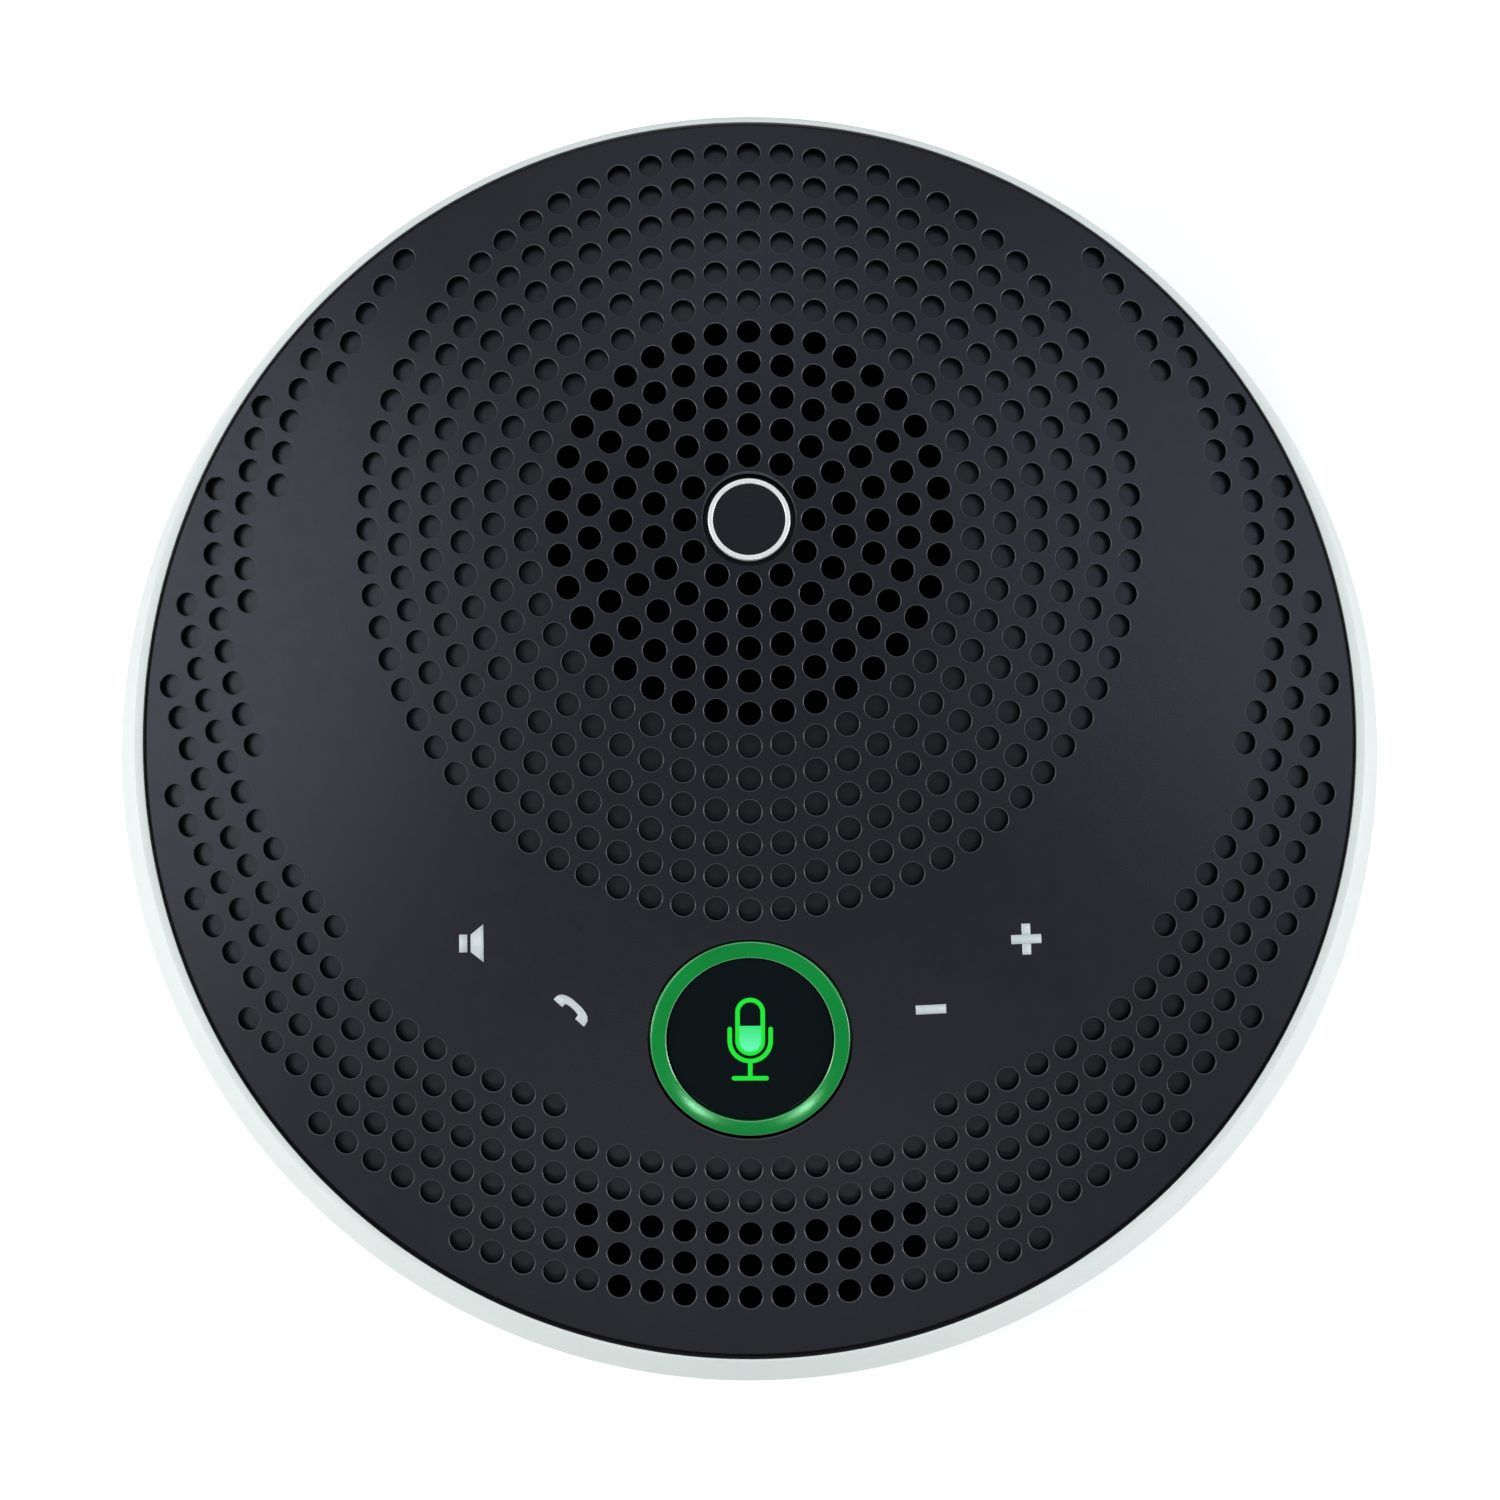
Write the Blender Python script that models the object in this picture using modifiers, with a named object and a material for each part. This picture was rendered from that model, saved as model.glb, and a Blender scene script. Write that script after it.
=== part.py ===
"""Round conference speakerphone: a perforated cover on a bowl, with its loudspeaker, boards, battery and buttons.

Units are metres, +Z is up, the user's side is -Y and the sockets are at +Y. The origin is on the table, under
the middle of the housing. The cover is a dome whose apex lies behind the middle, so the body slopes to the user.
Stacked pieces take their heights from each other, from the table up, with one clearance between them.
"""

import math

import bmesh
import bpy
import numpy as np
from mathutils import Matrix, Vector

MM = 0.001
CLEARANCE = 0.3 * MM
FULL_TURN = 2 * math.pi

# ---- cover: a dome cut to a near-round outline
COVER_HALF_WIDTH = 75.65 * MM
COVER_HALF_DEPTH = 76.3 * MM
APEX_HEIGHT = 36.5 * MM
DOME_SPAN = 76.0 * MM
DOME_FALL = 18.0 * MM
DOME_EASE = 3.0 * MM
COVER_WALL = 2.2 * MM
LIP_DEPTH = 3.0 * MM
LIP_WALL = 1.2 * MM

# ---- pattern of sound holes round the badge
BADGE_Y = 25.2 * MM
HOLE_PITCH = 3.93 * MM
HOLE_RADIUS = 1.42 * MM
SPEAKER_RINGS = (2, 3, 4, 5, 6)
MIC_RINGS = {22: 5, 23: 5, 24: 4}
DIMPLE_DEPTH = 1.45 * MM
DIMPLE_RINGS = range(8, 13, 2)
CRESCENT_RINGS = range(14, 25, 2)
CRESCENT_START = 15.3 * HOLE_PITCH
CRESCENT_PULL = 3.88 * HOLE_PITCH
CRESCENT_SETBACK = 6.05 * HOLE_PITCH
CRESCENT_RADIUS = 18.6 * HOLE_PITCH
BADGE_RADIUS = 5.2 * MM
BADGE_RING_WIDTH = 0.75 * MM
BADGE_RECESS = 1.3 * MM
APEX_SETBACK = 5.0 * MM
APEX_Y = BADGE_Y + APEX_SETBACK

# ---- lower housing
WALL = 2.2 * MM
JOINT_GAP = 0.35 * MM
LEDGE_DROP = 0.45 * MM
LEDGE_SIDE = 1.25 * MM
LEDGE_FRONT = 0.55 * MM
LEDGE_BACK = 0.7 * MM
FLARE_SIDE = 2.7 * MM
FLARE_FRONT = 2.5 * MM
FLARE_BACK = 2.35 * MM
WIDEST_HEIGHT = 11.2 * MM
WIDEST_TILT = 4.8 * MM
BASE_HEIGHT = 1.5 * MM
SEAM_THICKNESS = 0.8 * MM
SHELF_THICKNESS = 1.2 * MM
BOWL_INSET = 1.2 * MM
WALL_CURVE = 0.9
WALL_TURNS = (75, 55, 35, 15, 0)

# ---- foot and base screws
FOOT_RADIUS = 59.0 * MM
FOOT_WIDTH = 6.0 * MM
FOOT_THICKNESS = 1.8 * MM
BASE_MARGIN = 4.0 * MM
BASE_RADIUS = FOOT_RADIUS + FOOT_WIDTH / 2 + BASE_MARGIN
BASE_BOSS_RADIUS = 4.2 * MM
BASE_BOSS_TOP = 9.7 * MM
SCREW_HEAD_RADIUS = 2.7 * MM
SCREW_HEAD_HEIGHT = 2.3 * MM
SCREW_SHANK_RADIUS = 1.4 * MM
SCREW_GRIP = 4.8 * MM
COVER_BOSS_RADIUS = 3.4 * MM
BASE_SCREW_ANGLES = (45, 135, 225, 315)
EAR_BOSS_RADIUS = 2.8 * MM

# ---- loudspeaker: its frame hangs from the cover, and its magnet fills the height that is left
DRIVER_RADIUS = 30.0 * MM
CHAMBER_FLOOR = 1.0 * MM
CHAMBER_WALL = 1.4 * MM
YOKE_RADIUS = 17.0 * MM
YOKE_THICKNESS = 2.5 * MM
POLE_RADIUS = 5.8 * MM
MAGNET_RADIUS = 17.5 * MM
MAGNET_BORE = 8.8 * MM
TOP_PLATE_RADIUS = 16.5 * MM
TOP_PLATE_THICKNESS = 2.5 * MM
COIL_WALL = 0.6 * MM
COIL_HEIGHT = 9.2 * MM
BASKET_HEIGHT = 11.5 * MM
BASKET_FLOOR = 1.2 * MM
FLANGE_THICKNESS = 1.5 * MM
BASKET_WALL = 1.0 * MM
BASKET_NECK_GAP = 1.6 * MM
WINDOW_SIZE = (11.0 * MM, 4.2 * MM)
SURROUND_SEAT = 0.1 * MM
SURROUND_LIP = 1.6 * MM
SPIDER_SHELF = 1.8 * MM
SPIDER_RADIUS = 17.4 * MM
SPIDER_THICKNESS = 0.4 * MM
SPIDER_LANDING = 3.0 * MM
SPIDER_MARGIN = 0.6 * MM
SPIDER_RIPPLE = 0.6 * MM
SPIDER_WAVES = 3
SPIDER_START = 0.12
SPIDER_REACH = 0.6
CONE_DEPTH = 3.9 * MM
CONE_WALL = 0.5 * MM
CONE_RIM = 1.2 * MM
CONE_RIM_EASE = 0.2 * MM
RIM_WIDTH = 5.7 * MM
SURROUND_RADIUS = DRIVER_RADIUS - RIM_WIDTH
SURROUND_LANDING = 1.1 * MM
ROLL_RADIUS = 1.15 * MM
CONE_RADIUS = SURROUND_RADIUS - SURROUND_LANDING - 2 * ROLL_RADIUS
SURROUND_THICKNESS = 0.4 * MM
DUST_CAP_RADIUS = 8.8 * MM
DUST_CAP_RISE = 2.3 * MM
GASKET_THICKNESS = 0.6 * MM
GASKET_WIDTH = 2.0 * MM
GASKET_INSET = 1.6 * MM
GASKET_RADIUS = DRIVER_RADIUS - GASKET_INSET
SEAT_DROP = 1.0 * MM
CLOTH_THICKNESS = 0.3 * MM
EAR_RADIUS = 4.4 * MM
EAR_OFFSET = 2.6 * MM
EAR_REACH = DRIVER_RADIUS + EAR_OFFSET
EAR_INSET = 0.1 * MM
TAB_SIZE = (7.0 * MM, 6.0 * MM)
TAB_REACH = 1.0 * MM
EAR_SCREW_RADIUS = 1.0 * MM
EAR_SCREW_LENGTH = 4.0 * MM
EAR_SCREW_HEAD = 2.0 * MM
EAR_SCREW_HEAD_HEIGHT = 1.4 * MM
EAR_ANGLES = (90, 210, 330)

# ---- mute button, on an axis square to the cover
MUTE_Y = -37.6 * MM
MUTE_CAP_RADIUS = 10.05 * MM
LIGHT_RING_RADIUS = 12.4 * MM
MUTE_SINK = 0.35 * MM
MUTE_TRAVEL = 0.8 * MM
EDGE_ROUND = 0.3 * MM
CAP_DISC = 1.85 * MM
CAP_SKIRT = 1.1 * MM
RING_FLANGE = 0.9 * MM
RING_FLANGE_REACH = 1.4 * MM
MUTE_WELL_WALL = 1.5 * MM
MUTE_SWITCH_SIZE = 6.2 * MM
MUTE_SWITCH_HEIGHT = 2.9 * MM
PLUNGER_RADIUS = 1.6 * MM
PLUNGER_DIP = 1.2 * MM
MUTE_BOARD_THICKNESS = 1.2 * MM
LED_SIZE = (1.6 * MM, 2.4 * MM, 1.0 * MM)
LED_ANGLES = (90, 210, 330)

# ---- films under the cover, on the arc of touch keys
KEY_ARC_RADIUS = 62.8 * MM
TOUCH_FILM_WIDTH = 16.0 * MM
TOUCH_FILM_SPAN = (16.0, 39.0)
FILM_THICKNESS = 0.4 * MM
AERIAL_RADIUS = 52.0 * MM
AERIAL_WIDTH = 17.0 * MM
AERIAL_SPAN = (-1.0, 17.0)

# ---- microphone
MIC_RADIUS = 3.0 * MM
MIC_HEIGHT = 2.2 * MM
BOOT_WALL = 1.6 * MM
BOOT_FLOOR = 1.2 * MM
MIC_RING = 23

# ---- main board and what stands on it
POST_HEIGHT = 1.6 * MM
POST_RADIUS = 2.5 * MM
BOARD_THICKNESS = 1.6 * MM
BOARD_HALF_WIDTH = 35.0 * MM
BOARD_FRONT = -58.0 * MM
BOARD_BACK = -10.0 * MM
BOARD_POST_X = 32.0 * MM
BOARD_POST_INSET = 4.0 * MM
SMALL_SCREW_RADIUS = 0.8 * MM
SMALL_SCREW_HEAD = 1.7 * MM
SMALL_SCREW_HEAD_HEIGHT = 1.2 * MM
SMALL_SCREW_BITE = 2.3 * MM
SHIELD_SIZE = (18.0 * MM, 24.0 * MM, 2.2 * MM)
SHIELD_Y = -40.0 * MM
SHIELD_ROUND = 0.5 * MM
RADIO_SIZE = (15.0 * MM, 12.0 * MM, 1.8 * MM)
RADIO_PLACE = (20.0 * MM, -50.0 * MM)
RADIO_ROUND = 0.3 * MM
AMPLIFIER_SIZE = (7.0 * MM, 7.0 * MM, 1.0 * MM)
AMPLIFIER_PLACE = (14.0 * MM, -18.0 * MM)

# ---- battery
BATTERY_SIZE = (24.0 * MM, 42.0 * MM, 9.0 * MM)
BATTERY_X = 49.0 * MM
BATTERY_ROUND = 1.2 * MM
TRAY_WALL = 1.0 * MM
TRAY_FLOOR = 0.8 * MM
TRAY_HEIGHT = 5.0 * MM

# ---- back panel: an arc-shaped board and the ports on it, each on its own radial axis
IO_BOARD_HEIGHT = 14.0 * MM
IO_BOARD_THICKNESS = 1.2 * MM
IO_BOARD_INNER = 60.0 * MM
IO_BOARD_SPAN = 22.0
IO_LEAD_INSET = 5.0
IO_POST_RADIUS = 2.4 * MM
IO_POST_REACH = 62.5 * MM
IO_POST_ANGLES = (-20.0, 8.5)
USB_ANGLE = 2.5
JACK_ANGLE = 13.5
PAIRING_ANGLE = -7.5
POWER_ANGLE = -16.5
BUTTON_SIZE = (8.0 * MM, 3.6 * MM)
BUTTON_PROUD = 0.6 * MM
BUTTON_TRAVEL = 0.5 * MM
BUTTON_SETBACK = 1.4 * MM
BUTTON_FLANGE = 0.9 * MM
BUTTON_FLANGE_REACH = 0.9 * MM
STEM_RADIUS = 0.85 * MM
STEM_LENGTH = 3.0 * MM
SIDE_SWITCH_SIZE = (6.0 * MM, 4.5 * MM, 3.2 * MM)
SWITCH_WELL_DEPTH = 2.6 * MM
USB_SIZE = (8.9 * MM, 7.5 * MM, 3.2 * MM)
USB_SHELL = 0.4 * MM
USB_MOUTH_DEPTH = 5.5 * MM
TONGUE_SIDE_GAP = 0.7 * MM
TONGUE_THICKNESS = 0.7 * MM
TONGUE_SETBACK = 0.8 * MM
JACK_SIZE = (6.6 * MM, 11.0 * MM, 5.4 * MM)
JACK_NOSE_RADIUS = 2.6 * MM
JACK_BORE_RADIUS = 1.8 * MM
PORT_SETBACK = 0.7 * MM
JACK_SETBACK = 1.9 * MM

# ---- leads
LEAD_RADIUS = 0.8 * MM
STEP = 1.0 * MM

# ---- fineness of the facets
LOFT_SEGMENTS = 40
DOME_RINGS = 4
ROUND_STEPS = 24
SMALL_STEPS = 10
BORE_STEPS = 8
COARSE_STEP = 2 * FULL_TURN / LOFT_SEGMENTS
HOLE_SIDES = 6


# ------------------------------------------------------------------ scene and materials

def clear_scene():
    """Starts from an empty scene."""
    for obj in list(bpy.data.objects):
        bpy.data.objects.remove(obj, do_unlink=True)


def new_collection(name):
    """A collection linked to the scene."""
    group = bpy.data.collections.new(name)
    bpy.context.scene.collection.children.link(group)
    return group


def new_material(name, color, roughness, metallic=0.0):
    """A Principled material with one colour."""
    material = bpy.data.materials.new(name)
    material.use_nodes = True
    shader = material.node_tree.nodes["Principled BSDF"]
    shader.inputs["Base Color"].default_value = (*color, 1.0)
    shader.inputs["Roughness"].default_value = roughness
    shader.inputs["Metallic"].default_value = metallic
    return material


clear_scene()
PARTS = new_collection("conference_speakerphone")
TOOLS = new_collection("cutters")
CHARCOAL = new_material("charcoal_plastic", (0.045, 0.05, 0.058), 0.42)
PALE = new_material("pale_plastic", (0.80, 0.85, 0.83), 0.4)
RUBBER = new_material("black_rubber", (0.02, 0.02, 0.021), 0.8)
SILVER = new_material("silver_trim", (0.80, 0.81, 0.82), 0.25, 1.0)
NAVY = new_material("dark_badge", (0.012, 0.014, 0.03), 0.3)
GLOSS_BLACK = new_material("gloss_black", (0.008, 0.01, 0.012), 0.1)
GREEN_LIGHT = new_material("green_light_guide", (0.0, 0.27, 0.04), 0.3)
STEEL = new_material("zinc_steel", (0.62, 0.62, 0.63), 0.35, 1.0)
FERRITE = new_material("ferrite", (0.07, 0.07, 0.075), 0.55)
PAPER = new_material("cone_paper", (0.03, 0.03, 0.03), 0.8)
CLOTH = new_material("acoustic_cloth", (0.012, 0.012, 0.012), 0.95)
BOARD = new_material("green_board", (0.01, 0.12, 0.05), 0.4)
CHIP = new_material("chip_black", (0.015, 0.015, 0.016), 0.5)
COPPER = new_material("copper_wire", (0.72, 0.36, 0.18), 0.3, 1.0)
BATTERY = new_material("battery_foil", (0.10, 0.16, 0.32), 0.4)
FILM = new_material("amber_film", (0.45, 0.20, 0.03), 0.35)
RED_WIRE = new_material("red_wire", (0.5, 0.02, 0.02), 0.45)
DARK_PLASTIC = new_material("dark_plastic", (0.03, 0.03, 0.032), 0.5)


# ------------------------------------------------------------------ the outer form

def dome_height(x, y):
    """Height of the cover's outside: a paraboloid about the apex, eased by a fourth-power term."""
    reach = np.hypot(x, y - APEX_Y) / DOME_SPAN
    return APEX_HEIGHT - DOME_FALL * reach**2 + DOME_EASE * reach**4


def on_dome(x, y):
    """A matrix on the cover's outside, its Z axis square to the surface there."""
    steepness = dome_slope(x, y) / max(math.hypot(x, y - APEX_Y), MM)
    normal = Vector((x * steepness, (y - APEX_Y) * steepness, 1))
    place = Matrix.Translation((x, y, float(dome_height(x, y))))
    return place @ normal.to_track_quat("Z", "Y").to_matrix().to_4x4()


def dome_slope(x, y):
    """How steeply the cover falls away from its apex, as a fall per unit of reach."""
    reach = math.hypot(x, y - APEX_Y) / DOME_SPAN
    return (2 * DOME_FALL * reach - 4 * DOME_EASE * reach**3) / DOME_SPAN


def outline(angle, offset=0.0):
    """Plan point at an angle on the cover's outline, moved outward by an offset."""
    return (
        (COVER_HALF_WIDTH + offset) * math.cos(angle),
        (COVER_HALF_DEPTH + offset) * math.sin(angle),
    )


def edge_height(angle):
    """Height of the cover's edge at an angle."""
    return float(dome_height(*outline(angle)))


def round_the_rim(angle, side, front, back):
    """A size that changes smoothly from the front to the sides and the back."""
    end = back if math.sin(angle) > 0 else front
    share = math.sin(angle) ** 2
    return side * (1 - share) + end * share


def ledge_offset(angle):
    """How far the housing's top ledge reaches beyond the cover's outline."""
    return JOINT_GAP + round_the_rim(angle, LEDGE_SIDE, LEDGE_FRONT, LEDGE_BACK)


def widest_offset(angle):
    """How far the housing's widest line lies beyond the cover's outline."""
    return ledge_offset(angle) + round_the_rim(angle, FLARE_SIDE, FLARE_FRONT, FLARE_BACK)


def widest_height(angle):
    """Height of the widest line, which tilts up towards the back."""
    return WIDEST_HEIGHT + WIDEST_TILT * math.sin(angle)


def shelf_height(angle):
    """Height of the shelf inside the housing that carries the seam ring and, over it, the cover's lip."""
    return edge_height(angle) - LIP_DEPTH - SEAM_THICKNESS - 2 * CLEARANCE


# ------------------------------------------------------------------ shape helpers

def add_object(name, mesh, material, parent=None, location=(0, 0, 0), smooth=True):
    """Links a mesh as a named piece, placed by its location under its parent."""
    mesh.materials.append(material)
    if smooth:
        mesh.shade_smooth()
        mesh.set_sharp_from_angle(angle=math.radians(35))
    piece = bpy.data.objects.new(name, mesh)
    PARTS.objects.link(piece)
    piece.parent = parent
    piece.location = location
    return piece


def as_tool(tool):
    """Moves an object to the cutters, out of the model."""
    PARTS.objects.unlink(tool)
    TOOLS.objects.link(tool)
    tool.hide_render = True
    tool.display_type = "WIRE"
    return tool


def combine(piece, tool, operation):
    """Adds a Boolean of one tool to a piece."""
    step = piece.modifiers.new(tool.name, "BOOLEAN")
    step.object = as_tool(tool) if tool.name in PARTS.objects else tool
    step.operation = operation
    return piece


def cut(piece, tool):
    """Takes the tool away from the piece."""
    return combine(piece, tool, "DIFFERENCE")


def join(piece, tool):
    """Adds the tool to the piece."""
    return combine(piece, tool, "UNION")


def mesh_from(name, build, *values, **named):
    """A mesh made by filling a bmesh with build(bm, ...)."""
    bm = bmesh.new()
    build(bm, *values, **named)
    bmesh.ops.recalc_face_normals(bm, faces=bm.faces)
    mesh = bpy.data.meshes.new(name)
    bm.to_mesh(mesh)
    bm.free()
    return mesh


def fill_loft(bm, sections, closed):
    """Faces between neighbouring sections, which are lists of points at successive angles."""
    rings = [[bm.verts.new(point) for point in section] for section in sections]
    count = len(rings[0])
    strips = count if closed else count - 1
    for here, after in zip(rings, rings[1:] + rings[:1]):
        for j in range(strips):
            k = (j + 1) % count
            bm.faces.new((here[j], here[k], after[k], after[j]))
    bmesh.ops.remove_doubles(bm, verts=bm.verts, dist=1e-6)


def lofted(name, section, material, closed=False, segments=LOFT_SEGMENTS):
    """A solid round the Z axis whose section changes with the angle; an open section ends on the axis."""
    sections = [section(FULL_TURN * i / segments) for i in range(segments)]
    return add_object(name, mesh_from(name, fill_loft, sections, closed), material)


def turned(name, profile, material, closed=True, parent=None, location=(0, 0, 0), steps=ROUND_STEPS):
    """A turned solid: a profile of (radius, height) points, down its outer side, swept by a Screw modifier."""
    mesh = bpy.data.meshes.new(name)
    last = len(profile) - 1
    edges = [(i, i + 1) for i in range(last)] + ([(last, 0)] if closed else [])
    mesh.from_pydata([(r, 0, z) for r, z in profile], edges, [])
    piece = add_object(name, mesh, material, parent, location, smooth=False)
    screw = piece.modifiers.new("turn", "SCREW")
    screw.steps = steps
    screw.render_steps = steps
    screw.use_merge_vertices = True
    screw.merge_threshold = 0.00001
    screw.use_smooth_shade = True
    return piece


def tube(name, inner, outer, low, high, material, **placing):
    """A plain ring or tube between two radii and two heights."""
    return turned(name, [(outer, high), (outer, low), (inner, low), (inner, high)], material, **placing)


def disc(name, radius, low, high, material, **placing):
    """A plain round slab or pin."""
    profile = [(0, high), (radius, high), (radius, low), (0, low)]
    return turned(name, profile, material, closed=False, **placing)


def fill_box(bm, size, centre):
    """A box of a size about its centre."""
    place = Matrix.Translation(centre) @ Matrix.Diagonal((*size, 1))
    bmesh.ops.create_cube(bm, size=1, matrix=place)


def box(name, size, centre, material, parent=None, round_edges=0.0):
    """A box, with its edges rounded where the real one's are."""
    mesh = mesh_from(name, fill_box, size, (0, 0, 0))
    piece = add_object(name, mesh, material, parent, centre, smooth=False)
    if round_edges:
        bevel = piece.modifiers.new("round", "BEVEL")
        bevel.width = round_edges
        bevel.segments = 1
        bevel.limit_method = "ANGLE"
    return piece


def plate(name, points, thickness, material, matrix):
    """A flat outline extruded to a thickness about its own plane, then placed by a matrix."""
    curve = bpy.data.curves.new(name, "CURVE")
    curve.dimensions = "2D"
    curve.fill_mode = "BOTH"
    curve.extrude = thickness / 2
    spline = curve.splines.new("POLY")
    spline.points.add(len(points) - 1)
    for slot, (x, y) in zip(spline.points, points):
        slot.co = (x, y, 0, 1)
    spline.use_cyclic_u = True
    flat = bpy.data.objects.new(name + "_outline", curve)
    PARTS.objects.link(flat)
    bpy.context.view_layer.update()
    evaluated = flat.evaluated_get(bpy.context.evaluated_depsgraph_get())
    mesh = bpy.data.meshes.new_from_object(evaluated)
    bpy.data.objects.remove(flat, do_unlink=True)
    bm = bmesh.new()
    bm.from_mesh(mesh)
    bmesh.ops.remove_doubles(bm, verts=bm.verts, dist=1e-6)
    bmesh.ops.recalc_face_normals(bm, faces=bm.faces)
    bm.to_mesh(mesh)
    bm.free()
    mesh.name = name
    piece = add_object(name, mesh, material, smooth=False)
    piece.matrix_world = matrix
    return piece


def stadium(width, height, sides=6):
    """Outline of a slot with round ends."""
    radius = height / 2
    reach = width / 2 - radius
    points = []
    for end, start in ((1, -90), (-1, 90)):
        for i in range(sides + 1):
            angle = math.radians(start + 180 * i / sides)
            points.append((end * reach + radius * math.cos(angle), radius * math.sin(angle)))
    return points


def sector(inner, outer, start, stop, steps=10):
    """Outline of a piece of a ring between two angles in degrees."""
    angles = [math.radians(start + (stop - start) * i / steps) for i in range(steps + 1)]
    far = [(outer * math.cos(a), outer * math.sin(a)) for a in angles]
    near = [(inner * math.cos(a), inner * math.sin(a)) for a in reversed(angles)]
    return far + near


def skin_under_cover(name, radii, angles, depth, thickness, material, whole=False):
    """A thin sheet that follows the cover's underside, on a polar grid round the badge."""
    rows = []
    for radius in radii:
        x = radius * np.cos(angles)
        y = BADGE_Y + radius * np.sin(angles)
        rows.append(np.stack([x, y, dome_height(x, y) - depth], axis=-1))

    def fill(bm):
        grid = [[bm.verts.new(point) for point in row] for row in rows]
        across = len(angles)
        strips = across if whole else across - 1
        for low, high in zip(grid, grid[1:]):
            for j in range(strips):
                k = (j + 1) % across
                bm.faces.new((low[j], high[j], high[k], low[k]))
        bmesh.ops.remove_doubles(bm, verts=bm.verts, dist=1e-6)

    mesh = mesh_from(name, fill)
    if mesh.polygons[0].normal.z < 0:
        mesh.flip_normals()
    piece = add_object(name, mesh, material)
    wall = piece.modifiers.new("thickness", "SOLIDIFY")
    wall.thickness = thickness
    wall.offset = -1
    return piece


def lead(name, points, material, radius=LEAD_RADIUS, fine=11):
    """A wire along a smooth curve through its route's points."""
    route = [Vector(p) for p in points]
    route = [2 * route[0] - route[1]] + route + [2 * route[-1] - route[-2]]
    spans = len(points) - 1
    smooth = []
    for i in range(fine + 1):
        place = spans * i / fine
        k = min(int(place), spans - 1)
        t = place - k
        a, b, c, d = route[k:k + 4]
        smooth.append(0.5 * (2 * b + (c - a) * t + (2 * a - 5 * b + 4 * c - d) * t**2
                             + (3 * b - a - 3 * c + d) * t**3))
    curve = bpy.data.curves.new(name, "CURVE")
    curve.dimensions = "3D"
    curve.bevel_depth = radius
    curve.bevel_resolution = 1
    curve.use_fill_caps = True
    spline = curve.splines.new("POLY")
    spline.points.add(len(smooth) - 1)
    for slot, point in zip(spline.points, smooth):
        slot.co = (*point, 1)
    curve.materials.append(material)
    piece = bpy.data.objects.new(name, curve)
    PARTS.objects.link(piece)
    return piece


def axis_empty(name, location, rotation):
    """An empty that carries the pieces of one axis."""
    empty = bpy.data.objects.new(name, None)
    PARTS.objects.link(empty)
    empty.location = location
    empty.rotation_euler = rotation
    return empty


def under_cover_post(name, x, y, radius, bottom, sides=SMALL_STEPS):
    """A round post whose top follows the cover, half a wall below its outside."""
    def fill(bm):
        bmesh.ops.create_cone(bm, cap_ends=True, segments=sides, radius1=radius, radius2=radius, depth=1,
                              matrix=Matrix.Translation((x, y, 0)))
        for vert in bm.verts:
            top = float(dome_height(vert.co.x, vert.co.y)) - COVER_WALL / 2
            vert.co.z = top if vert.co.z > 0 else bottom
    return add_object(name, mesh_from(name, fill), CHARCOAL)


def around(radius, degrees, centre=(0.0, 0.0)):
    """Plan point at a radius and an angle from +X about a centre."""
    angle = math.radians(degrees)
    return centre[0] + radius * math.cos(angle), centre[1] + radius * math.sin(angle)


# ------------------------------------------------------------------ sizes that follow: heights and places

FLOOR_TOP = BASE_HEIGHT + WALL
GROOVE_ROOF = FOOT_THICKNESS + CLEARANCE
CHAMBER_BOTTOM = FLOOR_TOP + CLEARANCE
YOKE_BOTTOM = CHAMBER_BOTTOM + CHAMBER_FLOOR + CLEARANCE
MAGNET_BOTTOM = YOKE_BOTTOM + YOKE_THICKNESS + CLEARANCE
SEAT_BOTTOM = float(dome_height(0, BADGE_Y - GASKET_RADIUS)) - COVER_WALL - SEAT_DROP
GASKET_TOP = SEAT_BOTTOM - CLEARANCE
GASKET_BOTTOM = GASKET_TOP - GASKET_THICKNESS
FLANGE_TOP = GASKET_BOTTOM - CLEARANCE
FLANGE_BOTTOM = FLANGE_TOP - FLANGE_THICKNESS
BASKET_BOTTOM = FLANGE_TOP - BASKET_HEIGHT
TOP_PLATE_TOP = BASKET_BOTTOM - CLEARANCE
TOP_PLATE_BOTTOM = TOP_PLATE_TOP - TOP_PLATE_THICKNESS
MAGNET_TOP = TOP_PLATE_BOTTOM - CLEARANCE
COIL_INNER = POLE_RADIUS + CLEARANCE
COIL_OUTER = COIL_INNER + COIL_WALL
COIL_BOTTOM = TOP_PLATE_BOTTOM + CLEARANCE
NECK_RADIUS = COIL_OUTER + CLEARANCE
BOARD_BOTTOM = FLOOR_TOP + POST_HEIGHT + CLEARANCE
BOARD_TOP = BOARD_BOTTOM + BOARD_THICKNESS
ON_BOARD = BOARD_TOP + CLEARANCE
IO_TOP = IO_BOARD_HEIGHT + IO_BOARD_THICKNESS
ON_IO_BOARD = IO_TOP + CLEARANCE
BASE_SCREW_SEAT = GROOVE_ROOF + SCREW_HEAD_HEIGHT + 2 * CLEARANCE
BASE_SCREW_TIP = BASE_BOSS_TOP + CLEARANCE + SCREW_GRIP
EAR_SCREW_TIP = FLANGE_BOTTOM + EAR_SCREW_LENGTH
BOARD_SCREW_LENGTH = ON_BOARD - FLOOR_TOP - POST_HEIGHT + SMALL_SCREW_BITE
IO_SCREW_LENGTH = ON_IO_BOARD - IO_BOARD_HEIGHT + SMALL_SCREW_BITE
TAB_Y = BADGE_Y - DRIVER_RADIUS - TAB_REACH
MUTE_ORIGIN_Z = float(dome_height(0, MUTE_Y))
RING_FLANGE_RADIUS = LIGHT_RING_RADIUS + RING_FLANGE_REACH
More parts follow.
